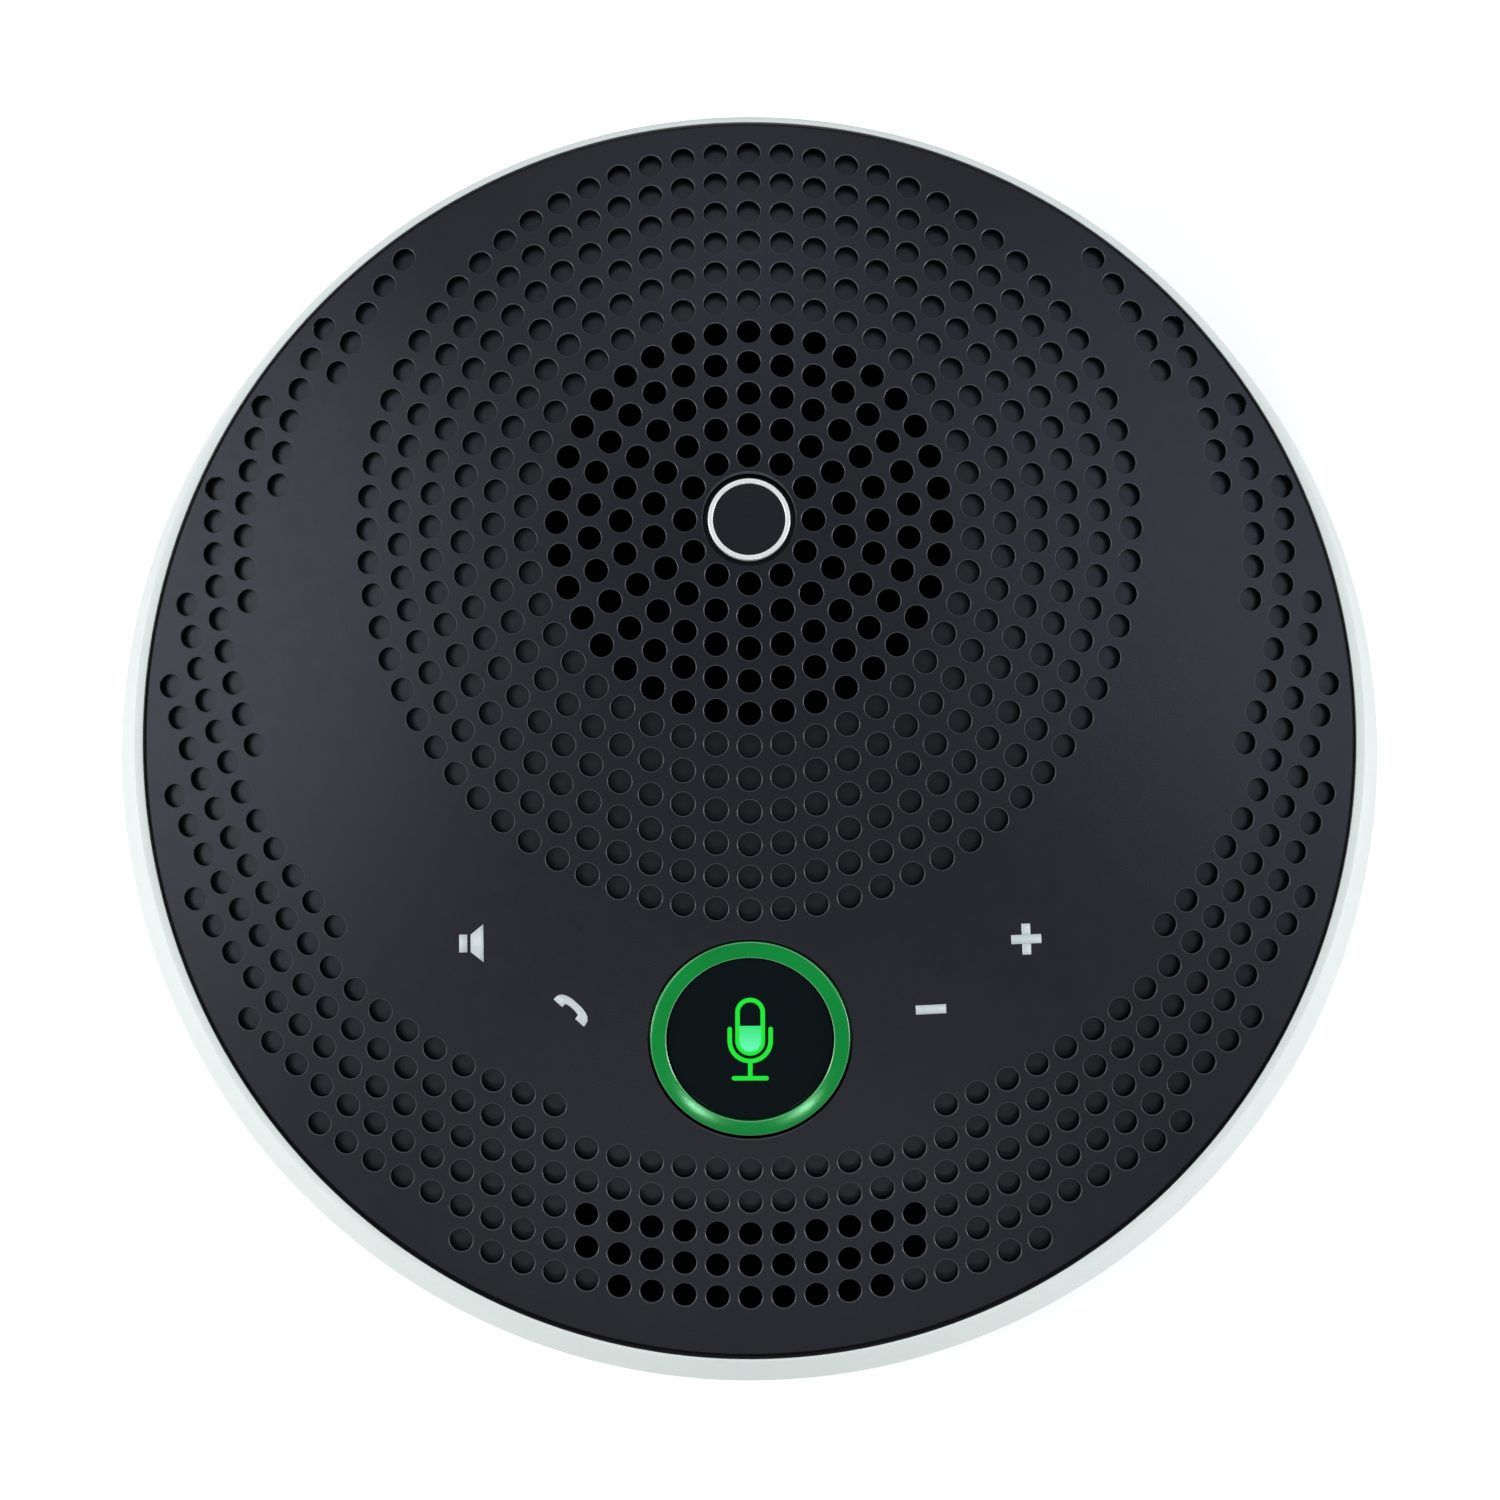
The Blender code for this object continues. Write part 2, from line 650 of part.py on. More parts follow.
RING_FLANGE_TOP = -(COVER_WALL + MUTE_SINK + 2 * CLEARANCE)
MUTE_WELL_INNER = RING_FLANGE_RADIUS + CLEARANCE
MUTE_WELL_OUTER = MUTE_WELL_INNER + MUTE_WELL_WALL
SHIELD_PLACE = (-(MUTE_WELL_OUTER + CLEARANCE + SHIELD_SIZE[0] / 2), SHIELD_Y)
CAP_BOTTOM = RING_FLANGE_TOP - 2 * RING_FLANGE - CLEARANCE
MUTE_BOARD_TOP = CAP_BOTTOM - MUTE_TRAVEL - LED_SIZE[2] - 3 * CLEARANCE
MIC_Y = BADGE_Y - MIC_RING * HOLE_PITCH
MIC_BOOT_RADIUS = MIC_RADIUS + CLEARANCE + BOOT_WALL
MIC_BOOT_TOP = -(COVER_WALL + CLOTH_THICKNESS + 3 * CLEARANCE)
BATTERY_BOTTOM = FLOOR_TOP + TRAY_FLOOR + 2 * CLEARANCE
SPEAKER_AXIS = (0, BADGE_Y, 0)
BASE_SCREW_PLACES = [around(FOOT_RADIUS, degrees) for degrees in BASE_SCREW_ANGLES]
EAR_PLACES = [around(EAR_REACH, degrees, (0, BADGE_Y)) for degrees in EAR_ANGLES]
BOARD_POSTS = [
    (side * BOARD_POST_X, y)
    for y in (BOARD_BACK - BOARD_POST_INSET, BOARD_FRONT + BOARD_POST_INSET)
    for side in (-1, 1)
]
IO_POSTS = [around(IO_POST_REACH, 90 + degrees) for degrees in IO_POST_ANGLES]


# ------------------------------------------------------------------ cover

def cover_section(angle):
    """From the top of the axis over the dome, round the lip and back along the underside.

    The inner half of the dome has half as many facets round as the rim has.
    """
    coarse = math.floor(angle / COARSE_STEP + 1e-6) * COARSE_STEP
    shares = [i / DOME_RINGS for i in range(DOME_RINGS + 1)]

    def sheet(offset, depth):
        points = []
        for share in shares:
            x, y = outline(coarse if share <= 0.5 else angle, offset)
            points.append((x * share, y * share, float(dome_height(x * share, y * share)) - depth))
        return points

    lip_bottom = edge_height(angle) - LIP_DEPTH
    lip = [(*outline(angle), lip_bottom), (*outline(angle, -LIP_WALL), lip_bottom)]
    return sheet(0, 0) + lip + sheet(-LIP_WALL, COVER_WALL)[::-1]


def in_crescent(x, y):
    """Whether a place lies in the crescent: out from an egg round the badge and inside a circle near the edge."""
    reach = math.hypot(x, y - BADGE_Y)
    back = (y - BADGE_Y) / reach
    inside = math.hypot(x, y - BADGE_Y + CRESCENT_SETBACK) <= CRESCENT_RADIUS
    return inside and reach >= CRESCENT_START - CRESCENT_PULL * back


def ring_places(ring, steps):
    """Places on a ring, counted in steps from straight back: ring k has 6k places at k pitches from the badge."""
    return [around(ring * HOLE_PITCH, 90 + 60 * i / ring, (0, BADGE_Y)) for i in steps]


def hole_centres():
    """Centres of the through-holes: all places of the speaker rings and a few at the front of the outer rings."""
    centres = []
    for ring in SPEAKER_RINGS:
        centres += ring_places(ring, range(6 * ring))
    for ring, reach in MIC_RINGS.items():
        centres += ring_places(ring, range(3 * ring - reach, 3 * ring + reach + 1))
    return centres


def dimple_centres():
    """Centres of the main blind dimples: every second place of every second ring, but no through-hole."""
    centres = []
    for ring in DIMPLE_RINGS:
        centres += ring_places(ring, range(0, 6 * ring, 2))
    for ring in CRESCENT_RINGS:
        reach = MIC_RINGS.get(ring, -1)
        blind = [i for i in range(0, 6 * ring, 2) if abs(i - 3 * ring) > reach]
        centres += [place for place in ring_places(ring, blind) if in_crescent(*place)]
    return centres


def fill_hole_tools(bm):
    """An upright prism through the cover for each sound hole, and a short one on the surface for each dimple."""
    def prism(place, height):
        bmesh.ops.create_cone(bm, cap_ends=True, segments=HOLE_SIDES, radius1=HOLE_RADIUS,
                              radius2=HOLE_RADIUS, depth=height, matrix=place)

    for x, y in hole_centres():
        prism(Matrix.Translation((x, y, float(dome_height(x, y)) - COVER_WALL / 2)), 3 * COVER_WALL)
    for x, y in dimple_centres():
        prism(on_dome(x, y), 2 * DIMPLE_DEPTH)


def make_speaker_seat():
    """The ring under the cover that presses on the loudspeaker's gasket."""
    def section(angle):
        points = []
        for radius, high in ((GASKET_RADIUS, True), (GASKET_RADIUS, False),
                             (GASKET_RADIUS - GASKET_WIDTH, False), (GASKET_RADIUS - GASKET_WIDTH, True)):
            x = radius * math.cos(angle)
            y = BADGE_Y + radius * math.sin(angle)
            top = float(dome_height(x, y)) - COVER_WALL / 2
            points.append((x, y, top if high else SEAT_BOTTOM))
        return points
    return lofted("speaker_seat", section, CHARCOAL, closed=True, segments=ROUND_STEPS)


def make_cover(mute):
    """The charcoal cover with its seats, bosses, sound holes, dimples and recesses."""
    cover = lofted("top_cover", cover_section, CHARCOAL)
    join(cover, make_speaker_seat())
    for i, (x, y) in enumerate(BASE_SCREW_PLACES):
        bottom = BASE_BOSS_TOP + CLEARANCE
        join(cover, under_cover_post(f"cover_boss_{i}", x, y, COVER_BOSS_RADIUS, bottom))
    for i, (x, y) in enumerate(EAR_PLACES):
        join(cover, under_cover_post(f"ear_boss_{i}", x, y, EAR_BOSS_RADIUS, GASKET_BOTTOM))
    well_top = -COVER_WALL / 2 - MUTE_SINK
    join(cover, tube("mute_well", MUTE_WELL_INNER, MUTE_WELL_OUTER, MUTE_BOARD_TOP + CLEARANCE, well_top,
                     CHARCOAL, parent=mute))
    cut(cover, disc("mute_hole", LIGHT_RING_RADIUS + CLEARANCE, -2 * COVER_WALL, COVER_WALL, CHARCOAL,
                    parent=mute))
    badge_top = float(dome_height(0, BADGE_Y))
    cut(cover, disc("badge_recess", BADGE_RADIUS + CLEARANCE, badge_top - BADGE_RECESS,
                    badge_top + COVER_WALL, CHARCOAL, location=(0, BADGE_Y, 0), steps=24))
    for i, (x, y) in enumerate(BASE_SCREW_PLACES):
        cut(cover, disc(f"cover_boss_bore_{i}", SCREW_SHANK_RADIUS + CLEARANCE, BASE_BOSS_TOP - COVER_WALL,
                        BASE_SCREW_TIP + CLEARANCE, CHARCOAL, location=(x, y, 0), steps=BORE_STEPS))
    for i, (x, y) in enumerate(EAR_PLACES):
        cut(cover, disc(f"ear_boss_bore_{i}", EAR_SCREW_RADIUS + CLEARANCE, FLANGE_BOTTOM,
                        EAR_SCREW_TIP + CLEARANCE, CHARCOAL, location=(x, y, 0), steps=BORE_STEPS))
    holes = add_object("sound_holes", mesh_from("sound_holes", fill_hole_tools), CHARCOAL, smooth=False)
    cut(cover, holes)
    return cover


def make_badge():
    """The badge: a plain dark disc inside a silver ring, in its recess."""
    floor = float(dome_height(0, BADGE_Y)) - BADGE_RECESS + CLEARANCE
    rim = floor + BADGE_RECESS
    inner = BADGE_RADIUS - BADGE_RING_WIDTH
    tube("badge_ring", inner, BADGE_RADIUS, floor, rim, SILVER, location=SPEAKER_AXIS, steps=24)
    disc("badge_disc", inner - CLEARANCE, floor, rim - CLEARANCE, NAVY, location=SPEAKER_AXIS, steps=24)


# ------------------------------------------------------------------ lower housing and foot

def housing_section(angle):
    """From the underside's middle, over the foot groove, up the flared wall, down inside to the floor."""
    cos, sin = math.cos(angle), math.sin(angle)

    def at(radius, z):
        return (radius * cos, radius * sin, z)

    def beyond(offset, z):
        return (*outline(angle, offset), z)

    groove = [FOOT_RADIUS + side * (FOOT_WIDTH / 2 + CLEARANCE) for side in (-1, 1)]
    wide = widest_offset(angle)
    level = widest_height(angle)
    edge = edge_height(angle)
    shelf = shelf_height(angle)
    mean = (COVER_HALF_WIDTH + COVER_HALF_DEPTH) / 2
    turn = [math.radians(step) for step in WALL_TURNS]
    bowl = BASE_RADIUS - mean
    outer = [beyond(bowl + (wide - bowl) * math.cos(t) ** WALL_CURVE,
                    level - (level - BASE_HEIGHT) * math.sin(t)) for t in turn]
    inside = bowl - BOWL_INSET
    inner = [beyond(inside + (wide - WALL - inside) * math.cos(t) ** WALL_CURVE,
                    level - (level - FLOOR_TOP) * math.sin(t)) for t in turn[1:]]
    return [
        at(0, BASE_HEIGHT),
        at(groove[0], BASE_HEIGHT),
        at(groove[0], GROOVE_ROOF),
        at(groove[1], GROOVE_ROOF),
        at(groove[1], BASE_HEIGHT),
        beyond(bowl, BASE_HEIGHT),
        *outer,
        beyond(ledge_offset(angle), edge - LEDGE_DROP),
        beyond(JOINT_GAP, edge - CLEARANCE),
        beyond(JOINT_GAP, shelf),
        beyond(-LIP_WALL, shelf),
        beyond(-LIP_WALL, shelf - SHELF_THICKNESS),
        *inner[::-1],
        beyond(inside, FLOOR_TOP),
        at(0, FLOOR_TOP),
    ]


def seam_section(angle):
    """The dark gasket's square section, on the housing's shelf under the cover's lip."""
    low = shelf_height(angle) + CLEARANCE
    high = low + SEAM_THICKNESS
    return [(*outline(angle), high), (*outline(angle), low),
            (*outline(angle, -LIP_WALL), low), (*outline(angle, -LIP_WALL), high)]


def make_housing(ports):
    """The pale bowl with its bosses, posts, screw bores and port openings."""
    housing = lofted("lower_housing", housing_section, PALE)
    sunk = FLOOR_TOP - WALL / 2
    for i, (x, y) in enumerate(BASE_SCREW_PLACES):
        join(housing, disc(f"base_boss_{i}", BASE_BOSS_RADIUS, sunk, BASE_BOSS_TOP, PALE,
                           location=(x, y, 0), steps=SMALL_STEPS))
    for i, (x, y) in enumerate(BOARD_POSTS):
        join(housing, disc(f"board_post_{i}", POST_RADIUS, sunk, FLOOR_TOP + POST_HEIGHT, PALE,
                           location=(x, y, 0), steps=SMALL_STEPS))
    for i, (x, y) in enumerate(IO_POSTS):
        join(housing, disc(f"io_post_{i}", IO_POST_RADIUS, sunk, IO_BOARD_HEIGHT - CLEARANCE, PALE,
                           location=(x, y, 0), steps=SMALL_STEPS))
    for i, (x, y) in enumerate(BASE_SCREW_PLACES):
        cut(housing, disc(f"head_bore_{i}", SCREW_HEAD_RADIUS + CLEARANCE, BASE_HEIGHT - WALL,
                          BASE_SCREW_SEAT, PALE, location=(x, y, 0), steps=BORE_STEPS))
        cut(housing, disc(f"shank_bore_{i}", SCREW_SHANK_RADIUS + CLEARANCE, BASE_HEIGHT - WALL,
                          BASE_BOSS_TOP + WALL, PALE, location=(x, y, 0), steps=BORE_STEPS))
    for i, (x, y) in enumerate(BOARD_POSTS[:2]):
        cut(housing, disc(f"board_post_bore_{i}", SMALL_SCREW_RADIUS + CLEARANCE,
                          ON_BOARD - BOARD_SCREW_LENGTH - CLEARANCE, BOARD_BOTTOM, PALE,
                          location=(x, y, 0), steps=BORE_STEPS))
    for i, (x, y) in enumerate(IO_POSTS):
        cut(housing, disc(f"io_post_bore_{i}", SMALL_SCREW_RADIUS + CLEARANCE,
                          ON_IO_BOARD - IO_SCREW_LENGTH - CLEARANCE, IO_BOARD_HEIGHT, PALE,
                          location=(x, y, 0), steps=BORE_STEPS))
    for name, axis in ports.items():
        cut(housing, port_opening(name, axis))
    return housing


def make_foot_and_screws():
    """The rubber foot ring in its groove and the four long screws that it hides."""
    tube("foot_ring", FOOT_RADIUS - FOOT_WIDTH / 2, FOOT_RADIUS + FOOT_WIDTH / 2, 0, FOOT_THICKNESS, RUBBER,
         steps=48)
    for i, (x, y) in enumerate(BASE_SCREW_PLACES):
        head = BASE_SCREW_SEAT - CLEARANCE
        profile = [(0, BASE_SCREW_TIP), (SCREW_SHANK_RADIUS, BASE_SCREW_TIP), (SCREW_SHANK_RADIUS, head),
                   (SCREW_HEAD_RADIUS, head), (SCREW_HEAD_RADIUS, head - SCREW_HEAD_HEIGHT),
                   (0, head - SCREW_HEAD_HEIGHT)]
        turned(f"base_screw_{i + 1}", profile, STEEL, closed=False, location=(x, y, 0), steps=SMALL_STEPS)


# ------------------------------------------------------------------ loudspeaker

def make_magnet_system():
    """The chamber under the loudspeaker, and its yoke, magnet and top plate."""
    wall_top = FLANGE_BOTTOM - CLEARANCE
    inside = CHAMBER_BOTTOM + CHAMBER_FLOOR
    cup = [(0, inside), (DRIVER_RADIUS - CHAMBER_WALL, inside), (DRIVER_RADIUS - CHAMBER_WALL, wall_top),
           (DRIVER_RADIUS, wall_top), (DRIVER_RADIUS, CHAMBER_BOTTOM), (0, CHAMBER_BOTTOM)]
    turned("speaker_chamber", cup, DARK_PLASTIC, closed=False, location=SPEAKER_AXIS)
    yoke_top = YOKE_BOTTOM + YOKE_THICKNESS
    yoke = [(0, TOP_PLATE_TOP), (POLE_RADIUS, TOP_PLATE_TOP), (POLE_RADIUS, yoke_top), (YOKE_RADIUS, yoke_top),
            (YOKE_RADIUS, YOKE_BOTTOM), (0, YOKE_BOTTOM)]
    turned("speaker_yoke", yoke, STEEL, closed=False, location=SPEAKER_AXIS, steps=24)
    tube("speaker_magnet", MAGNET_BORE, MAGNET_RADIUS, MAGNET_BOTTOM, MAGNET_TOP, FERRITE,
         location=SPEAKER_AXIS, steps=24)
    tube("speaker_top_plate", NECK_RADIUS, TOP_PLATE_RADIUS, TOP_PLATE_BOTTOM, TOP_PLATE_TOP, STEEL,
         location=SPEAKER_AXIS, steps=24)


def make_basket():
    """The loudspeaker's frame: a flange with screw ears and a terminal tab, a windowed cone and a floor."""
    ledge = FLANGE_BOTTOM - SURROUND_SEAT
    shelf = BASKET_BOTTOM + BASKET_FLOOR + SPIDER_SHELF
    landing = SURROUND_RADIUS + CLEARANCE
    profile = [
        (DRIVER_RADIUS, FLANGE_TOP),
        (DRIVER_RADIUS, FLANGE_BOTTOM),
        (landing + BASKET_WALL, FLANGE_BOTTOM),
        (MAGNET_RADIUS, BASKET_BOTTOM + BASKET_FLOOR),
        (MAGNET_RADIUS, BASKET_BOTTOM),
        (NECK_RADIUS + BASKET_NECK_GAP, BASKET_BOTTOM),
        (NECK_RADIUS + BASKET_NECK_GAP, BASKET_BOTTOM + BASKET_FLOOR),
        (SPIDER_RADIUS - SPIDER_LANDING, BASKET_BOTTOM + BASKET_FLOOR),
        (SPIDER_RADIUS - SPIDER_LANDING, shelf),
        (SPIDER_RADIUS + SPIDER_MARGIN, shelf),
        (landing - SURROUND_LIP, ledge - FLANGE_THICKNESS),
        (landing - SURROUND_LIP, ledge),
        (landing, ledge),
        (landing, FLANGE_TOP),
    ]
    basket = turned("speaker_basket", profile, STEEL, location=SPEAKER_AXIS)
    for i, (x, y) in enumerate(EAR_PLACES):
        join(basket, disc(f"ear_{i}", EAR_RADIUS, FLANGE_BOTTOM + EAR_INSET, FLANGE_TOP - EAR_INSET, STEEL,
                          location=(x, y, 0), steps=SMALL_STEPS))
    join(basket, box("terminal_tab", (*TAB_SIZE, FLANGE_THICKNESS - 2 * EAR_INSET),
                     (0, TAB_Y, FLANGE_BOTTOM + FLANGE_THICKNESS / 2), STEEL))
    for i, (x, y) in enumerate(EAR_PLACES):
        cut(basket, disc(f"ear_bore_{i}", EAR_SCREW_RADIUS + CLEARANCE, FLANGE_BOTTOM - WALL,
                         FLANGE_TOP + WALL, STEEL, location=(x, y, 0), steps=BORE_STEPS))
    middle = (shelf + FLANGE_BOTTOM) / 2
    for i in range(3):
        window = box(f"basket_window_{i}", (3 * DRIVER_RADIUS, *WINDOW_SIZE), (0, BADGE_Y, middle), STEEL)
        window.rotation_euler = (0, 0, math.radians(60 * i))
        cut(basket, window)
    return basket


def make_suspension():
    """The half-roll surround and the corrugated spider, which flex as the cone moves."""
    ledge = FLANGE_BOTTOM - SURROUND_SEAT + CLEARANCE
    middle = CONE_RADIUS + ROLL_RADIUS
    arc = [around(ROLL_RADIUS, degrees, (middle, ledge)) for degrees in range(180, -1, -45)]
    low = [(CONE_RADIUS - SURROUND_LANDING, ledge)] + arc + [(SURROUND_RADIUS, ledge)]
    high = [(r, z + SURROUND_THICKNESS) for r, z in low]
    turned("speaker_surround", high + low[::-1], RUBBER, location=SPEAKER_AXIS, steps=24)
    shelf = BASKET_BOTTOM + BASKET_FLOOR + SPIDER_SHELF + CLEARANCE
    count = 9
    wave = []
    for i in range(count + 1):
        share = i / count
        radius = NECK_RADIUS + (SPIDER_RADIUS - NECK_RADIUS) * share
        along = min(max((share - SPIDER_START) / SPIDER_REACH, 0), 1)
        ripple = SPIDER_RIPPLE / 2 * (1 - math.cos(FULL_TURN * SPIDER_WAVES * along))
        wave.append((radius, shelf + ripple))
    crest = [(r, z + SPIDER_THICKNESS) for r, z in wave]
    turned("speaker_spider", crest + wave[::-1], FILM, location=SPEAKER_AXIS, steps=20)


def make_moving_cone():
    """The cone, the dust cap and the voice coil, which move as one."""
    edge = FLANGE_BOTTOM - SURROUND_SEAT
    neck = edge - CONE_DEPTH
    flat = CONE_RADIUS - CONE_RIM
    cone = [(flat, edge), (CONE_RADIUS, edge), (CONE_RADIUS, edge - CONE_WALL),
            (flat + CONE_RIM_EASE, edge - CONE_WALL), (NECK_RADIUS, neck - CONE_WALL), (NECK_RADIUS, neck)]
    turned("speaker_cone", cone, PAPER, location=SPEAKER_AXIS)
    tube("voice_coil", COIL_INNER, COIL_OUTER, COIL_BOTTOM, COIL_BOTTOM + COIL_HEIGHT, COPPER,
         location=SPEAKER_AXIS, steps=24)
    slope = CONE_DEPTH / (flat - NECK_RADIUS)
    rim = neck + (DUST_CAP_RADIUS - NECK_RADIUS) * slope + CLEARANCE * math.hypot(1, slope)
    shares = [i / 4 for i in range(5)]
    outer = [(DUST_CAP_RADIUS * s, rim + DUST_CAP_RISE * (1 - s**2)) for s in shares]
    inner = [((DUST_CAP_RADIUS - CONE_WALL) * s, rim + (DUST_CAP_RISE - CONE_WALL) * (1 - s**2))
             for s in shares]
    turned("speaker_dust_cap", outer + inner[::-1], PAPER, closed=False, location=SPEAKER_AXIS, steps=24)


def make_speaker_seals_and_screws():
    """The gasket, the cloth behind the sound holes and the screws up into the cover."""
    inner = GASKET_RADIUS - GASKET_WIDTH
    tube("speaker_gasket", inner, GASKET_RADIUS, GASKET_BOTTOM, GASKET_TOP, RUBBER, location=SPEAKER_AXIS)
    radii = np.linspace(0, inner - CLEARANCE, 4)
    angles = np.linspace(0, FULL_TURN, 24, endpoint=False)
    skin_under_cover("grille_cloth", radii, angles, COVER_WALL + CLEARANCE, CLOTH_THICKNESS, CLOTH, whole=True)
    head = FLANGE_BOTTOM - CLEARANCE
    for i, (x, y) in enumerate(EAR_PLACES):
        profile = [(0, EAR_SCREW_TIP), (EAR_SCREW_RADIUS, EAR_SCREW_TIP), (EAR_SCREW_RADIUS, head),
                   (EAR_SCREW_HEAD, head), (EAR_SCREW_HEAD, head - EAR_SCREW_HEAD_HEIGHT),
                   (0, head - EAR_SCREW_HEAD_HEIGHT)]
        turned(f"speaker_screw_{i + 1}", profile, STEEL, closed=False, location=(x, y, 0), steps=SMALL_STEPS)


# ------------------------------------------------------------------ mute button

def make_mute(mute):
    """The mute button's cap, light ring, plunger, switch, board and lamps, along its tilted axis."""
    ring_inner = MUTE_CAP_RADIUS + CLEARANCE
    flange_top = RING_FLANGE_TOP
    flange_bottom = flange_top - RING_FLANGE
    ring = [(LIGHT_RING_RADIUS - EDGE_ROUND, -MUTE_SINK), (LIGHT_RING_RADIUS, -MUTE_SINK - EDGE_ROUND),
            (LIGHT_RING_RADIUS, flange_top), (RING_FLANGE_RADIUS, flange_top),
            (RING_FLANGE_RADIUS, flange_bottom), (ring_inner, flange_bottom), (ring_inner, -MUTE_SINK)]
    turned("mute_light_ring", ring, GREEN_LIGHT, parent=mute)
    skirt_bottom = flange_bottom - CLEARANCE
    cap = [(0, -MUTE_SINK), (MUTE_CAP_RADIUS - EDGE_ROUND, -MUTE_SINK),
           (MUTE_CAP_RADIUS, -MUTE_SINK - EDGE_ROUND), (MUTE_CAP_RADIUS, skirt_bottom),
           (MUTE_CAP_RADIUS + CAP_SKIRT, skirt_bottom),
           (MUTE_CAP_RADIUS + CAP_SKIRT, skirt_bottom - RING_FLANGE),
           (MUTE_CAP_RADIUS - CAP_SKIRT, skirt_bottom - RING_FLANGE),
           (MUTE_CAP_RADIUS - CAP_SKIRT, -MUTE_SINK - CAP_DISC), (0, -MUTE_SINK - CAP_DISC)]
    turned("mute_cap", cap, GLOSS_BLACK, closed=False, parent=mute)
    switch_bottom = MUTE_BOARD_TOP + CLEARANCE
    switch_top = switch_bottom + MUTE_SWITCH_HEIGHT
    tip = switch_top - PLUNGER_DIP
    switch = box("mute_switch", (MUTE_SWITCH_SIZE, MUTE_SWITCH_SIZE, MUTE_SWITCH_HEIGHT),
                 (0, 0, (switch_bottom + switch_top) / 2), CHIP, parent=mute)
    cut(switch, disc("switch_well", PLUNGER_RADIUS + CLEARANCE, tip - MUTE_TRAVEL - CLEARANCE,
                     switch_top + WALL, CHIP, parent=mute, steps=BORE_STEPS))
    disc("mute_plunger", PLUNGER_RADIUS, tip, -MUTE_SINK - CAP_DISC - CLEARANCE, CHARCOAL, parent=mute,
         steps=SMALL_STEPS)
    disc("mute_board", MUTE_WELL_OUTER, MUTE_BOARD_TOP - MUTE_BOARD_THICKNESS, MUTE_BOARD_TOP, BOARD,
         parent=mute)
    for i, degrees in enumerate(LED_ANGLES):
        x, y = around((ring_inner + LIGHT_RING_RADIUS) / 2, degrees)
        lamp = box(f"ring_led_{i + 1}", LED_SIZE, (x, y, MUTE_BOARD_TOP + CLEARANCE + LED_SIZE[2] / 2),
                   GREEN_LIGHT, parent=mute)
        lamp.rotation_euler = (0, 0, math.radians(degrees))


# ------------------------------------------------------------------ films and microphone

def make_films():
    """The touch films beside the mute button and the near-field aerial, under the cover."""
    depth = COVER_WALL + CLEARANCE
    radii = np.linspace(KEY_ARC_RADIUS - TOUCH_FILM_WIDTH / 2, KEY_ARC_RADIUS + TOUCH_FILM_WIDTH / 2, 4)
    for side, name in ((-1, "touch_film_left"), (1, "touch_film_right")):
        angles = np.radians(270 + side * np.linspace(*TOUCH_FILM_SPAN, 7))
        skin_under_cover(name, radii, angles, depth, FILM_THICKNESS, FILM)
    radii = np.linspace(AERIAL_RADIUS - AERIAL_WIDTH / 2, AERIAL_RADIUS + AERIAL_WIDTH / 2, 4)
    skin_under_cover("nfc_antenna", radii, np.radians(np.linspace(*AERIAL_SPAN, 5)), depth, FILM_THICKNESS, FILM)


def make_microphone(mic):
    """The microphone capsule in its rubber boot, and the mesh behind its sound holes."""
    rings = sorted(MIC_RINGS)
    radii = np.linspace(rings[0] - 0.5, rings[-1] + 0.5, 4) * HOLE_PITCH
    span = (max(MIC_RINGS.values()) + 0.5) * 60 / rings[0]
    angles = np.radians(270 + np.linspace(-span, span, 9))
    skin_under_cover("mic_mesh", radii, angles, COVER_WALL + CLEARANCE, CLOTH_THICKNESS, CLOTH)
    well = MIC_RADIUS + CLEARANCE
    floor = MIC_BOOT_TOP - CLEARANCE - MIC_HEIGHT
    boot = [(MIC_BOOT_RADIUS, MIC_BOOT_TOP), (MIC_BOOT_RADIUS, floor - BOOT_FLOOR), (0, floor - BOOT_FLOOR)]
    turned("mic_boot", [(0, floor), (well, floor), (well, MIC_BOOT_TOP)] + boot, RUBBER, closed=False,
           parent=mic, steps=16)
    disc("mic_capsule", MIC_RADIUS, floor + CLEARANCE, MIC_BOOT_TOP, STEEL, parent=mic, steps=16)


# ------------------------------------------------------------------ boards and battery

def on_board_box(name, size, place, material, round_edges=0.0):
    """A boxed component standing on the main board."""
    return box(name, size, (*place, ON_BOARD + size[2] / 2), material, round_edges=round_edges)


def small_screw(name, x, y, seat, length):
    """A small pan-head screw whose head sits just above a board."""
    profile = [(0, seat + SMALL_SCREW_HEAD_HEIGHT), (SMALL_SCREW_HEAD, seat + SMALL_SCREW_HEAD_HEIGHT),
               (SMALL_SCREW_HEAD, seat), (SMALL_SCREW_RADIUS, seat), (SMALL_SCREW_RADIUS, seat - length),
               (0, seat - length)]
    return turned(name, profile, STEEL, closed=False, location=(x, y, 0), steps=SMALL_STEPS)


def bored_for_screws(board, places, low, high):
    """Cuts the screw holes of a board."""
    for i, (x, y) in enumerate(places):
        cut(board, disc(f"{board.name}_bore_{i}", SMALL_SCREW_RADIUS + CLEARANCE, low - WALL, high + WALL,
                        BOARD, location=(x, y, 0), steps=BORE_STEPS))
    return board


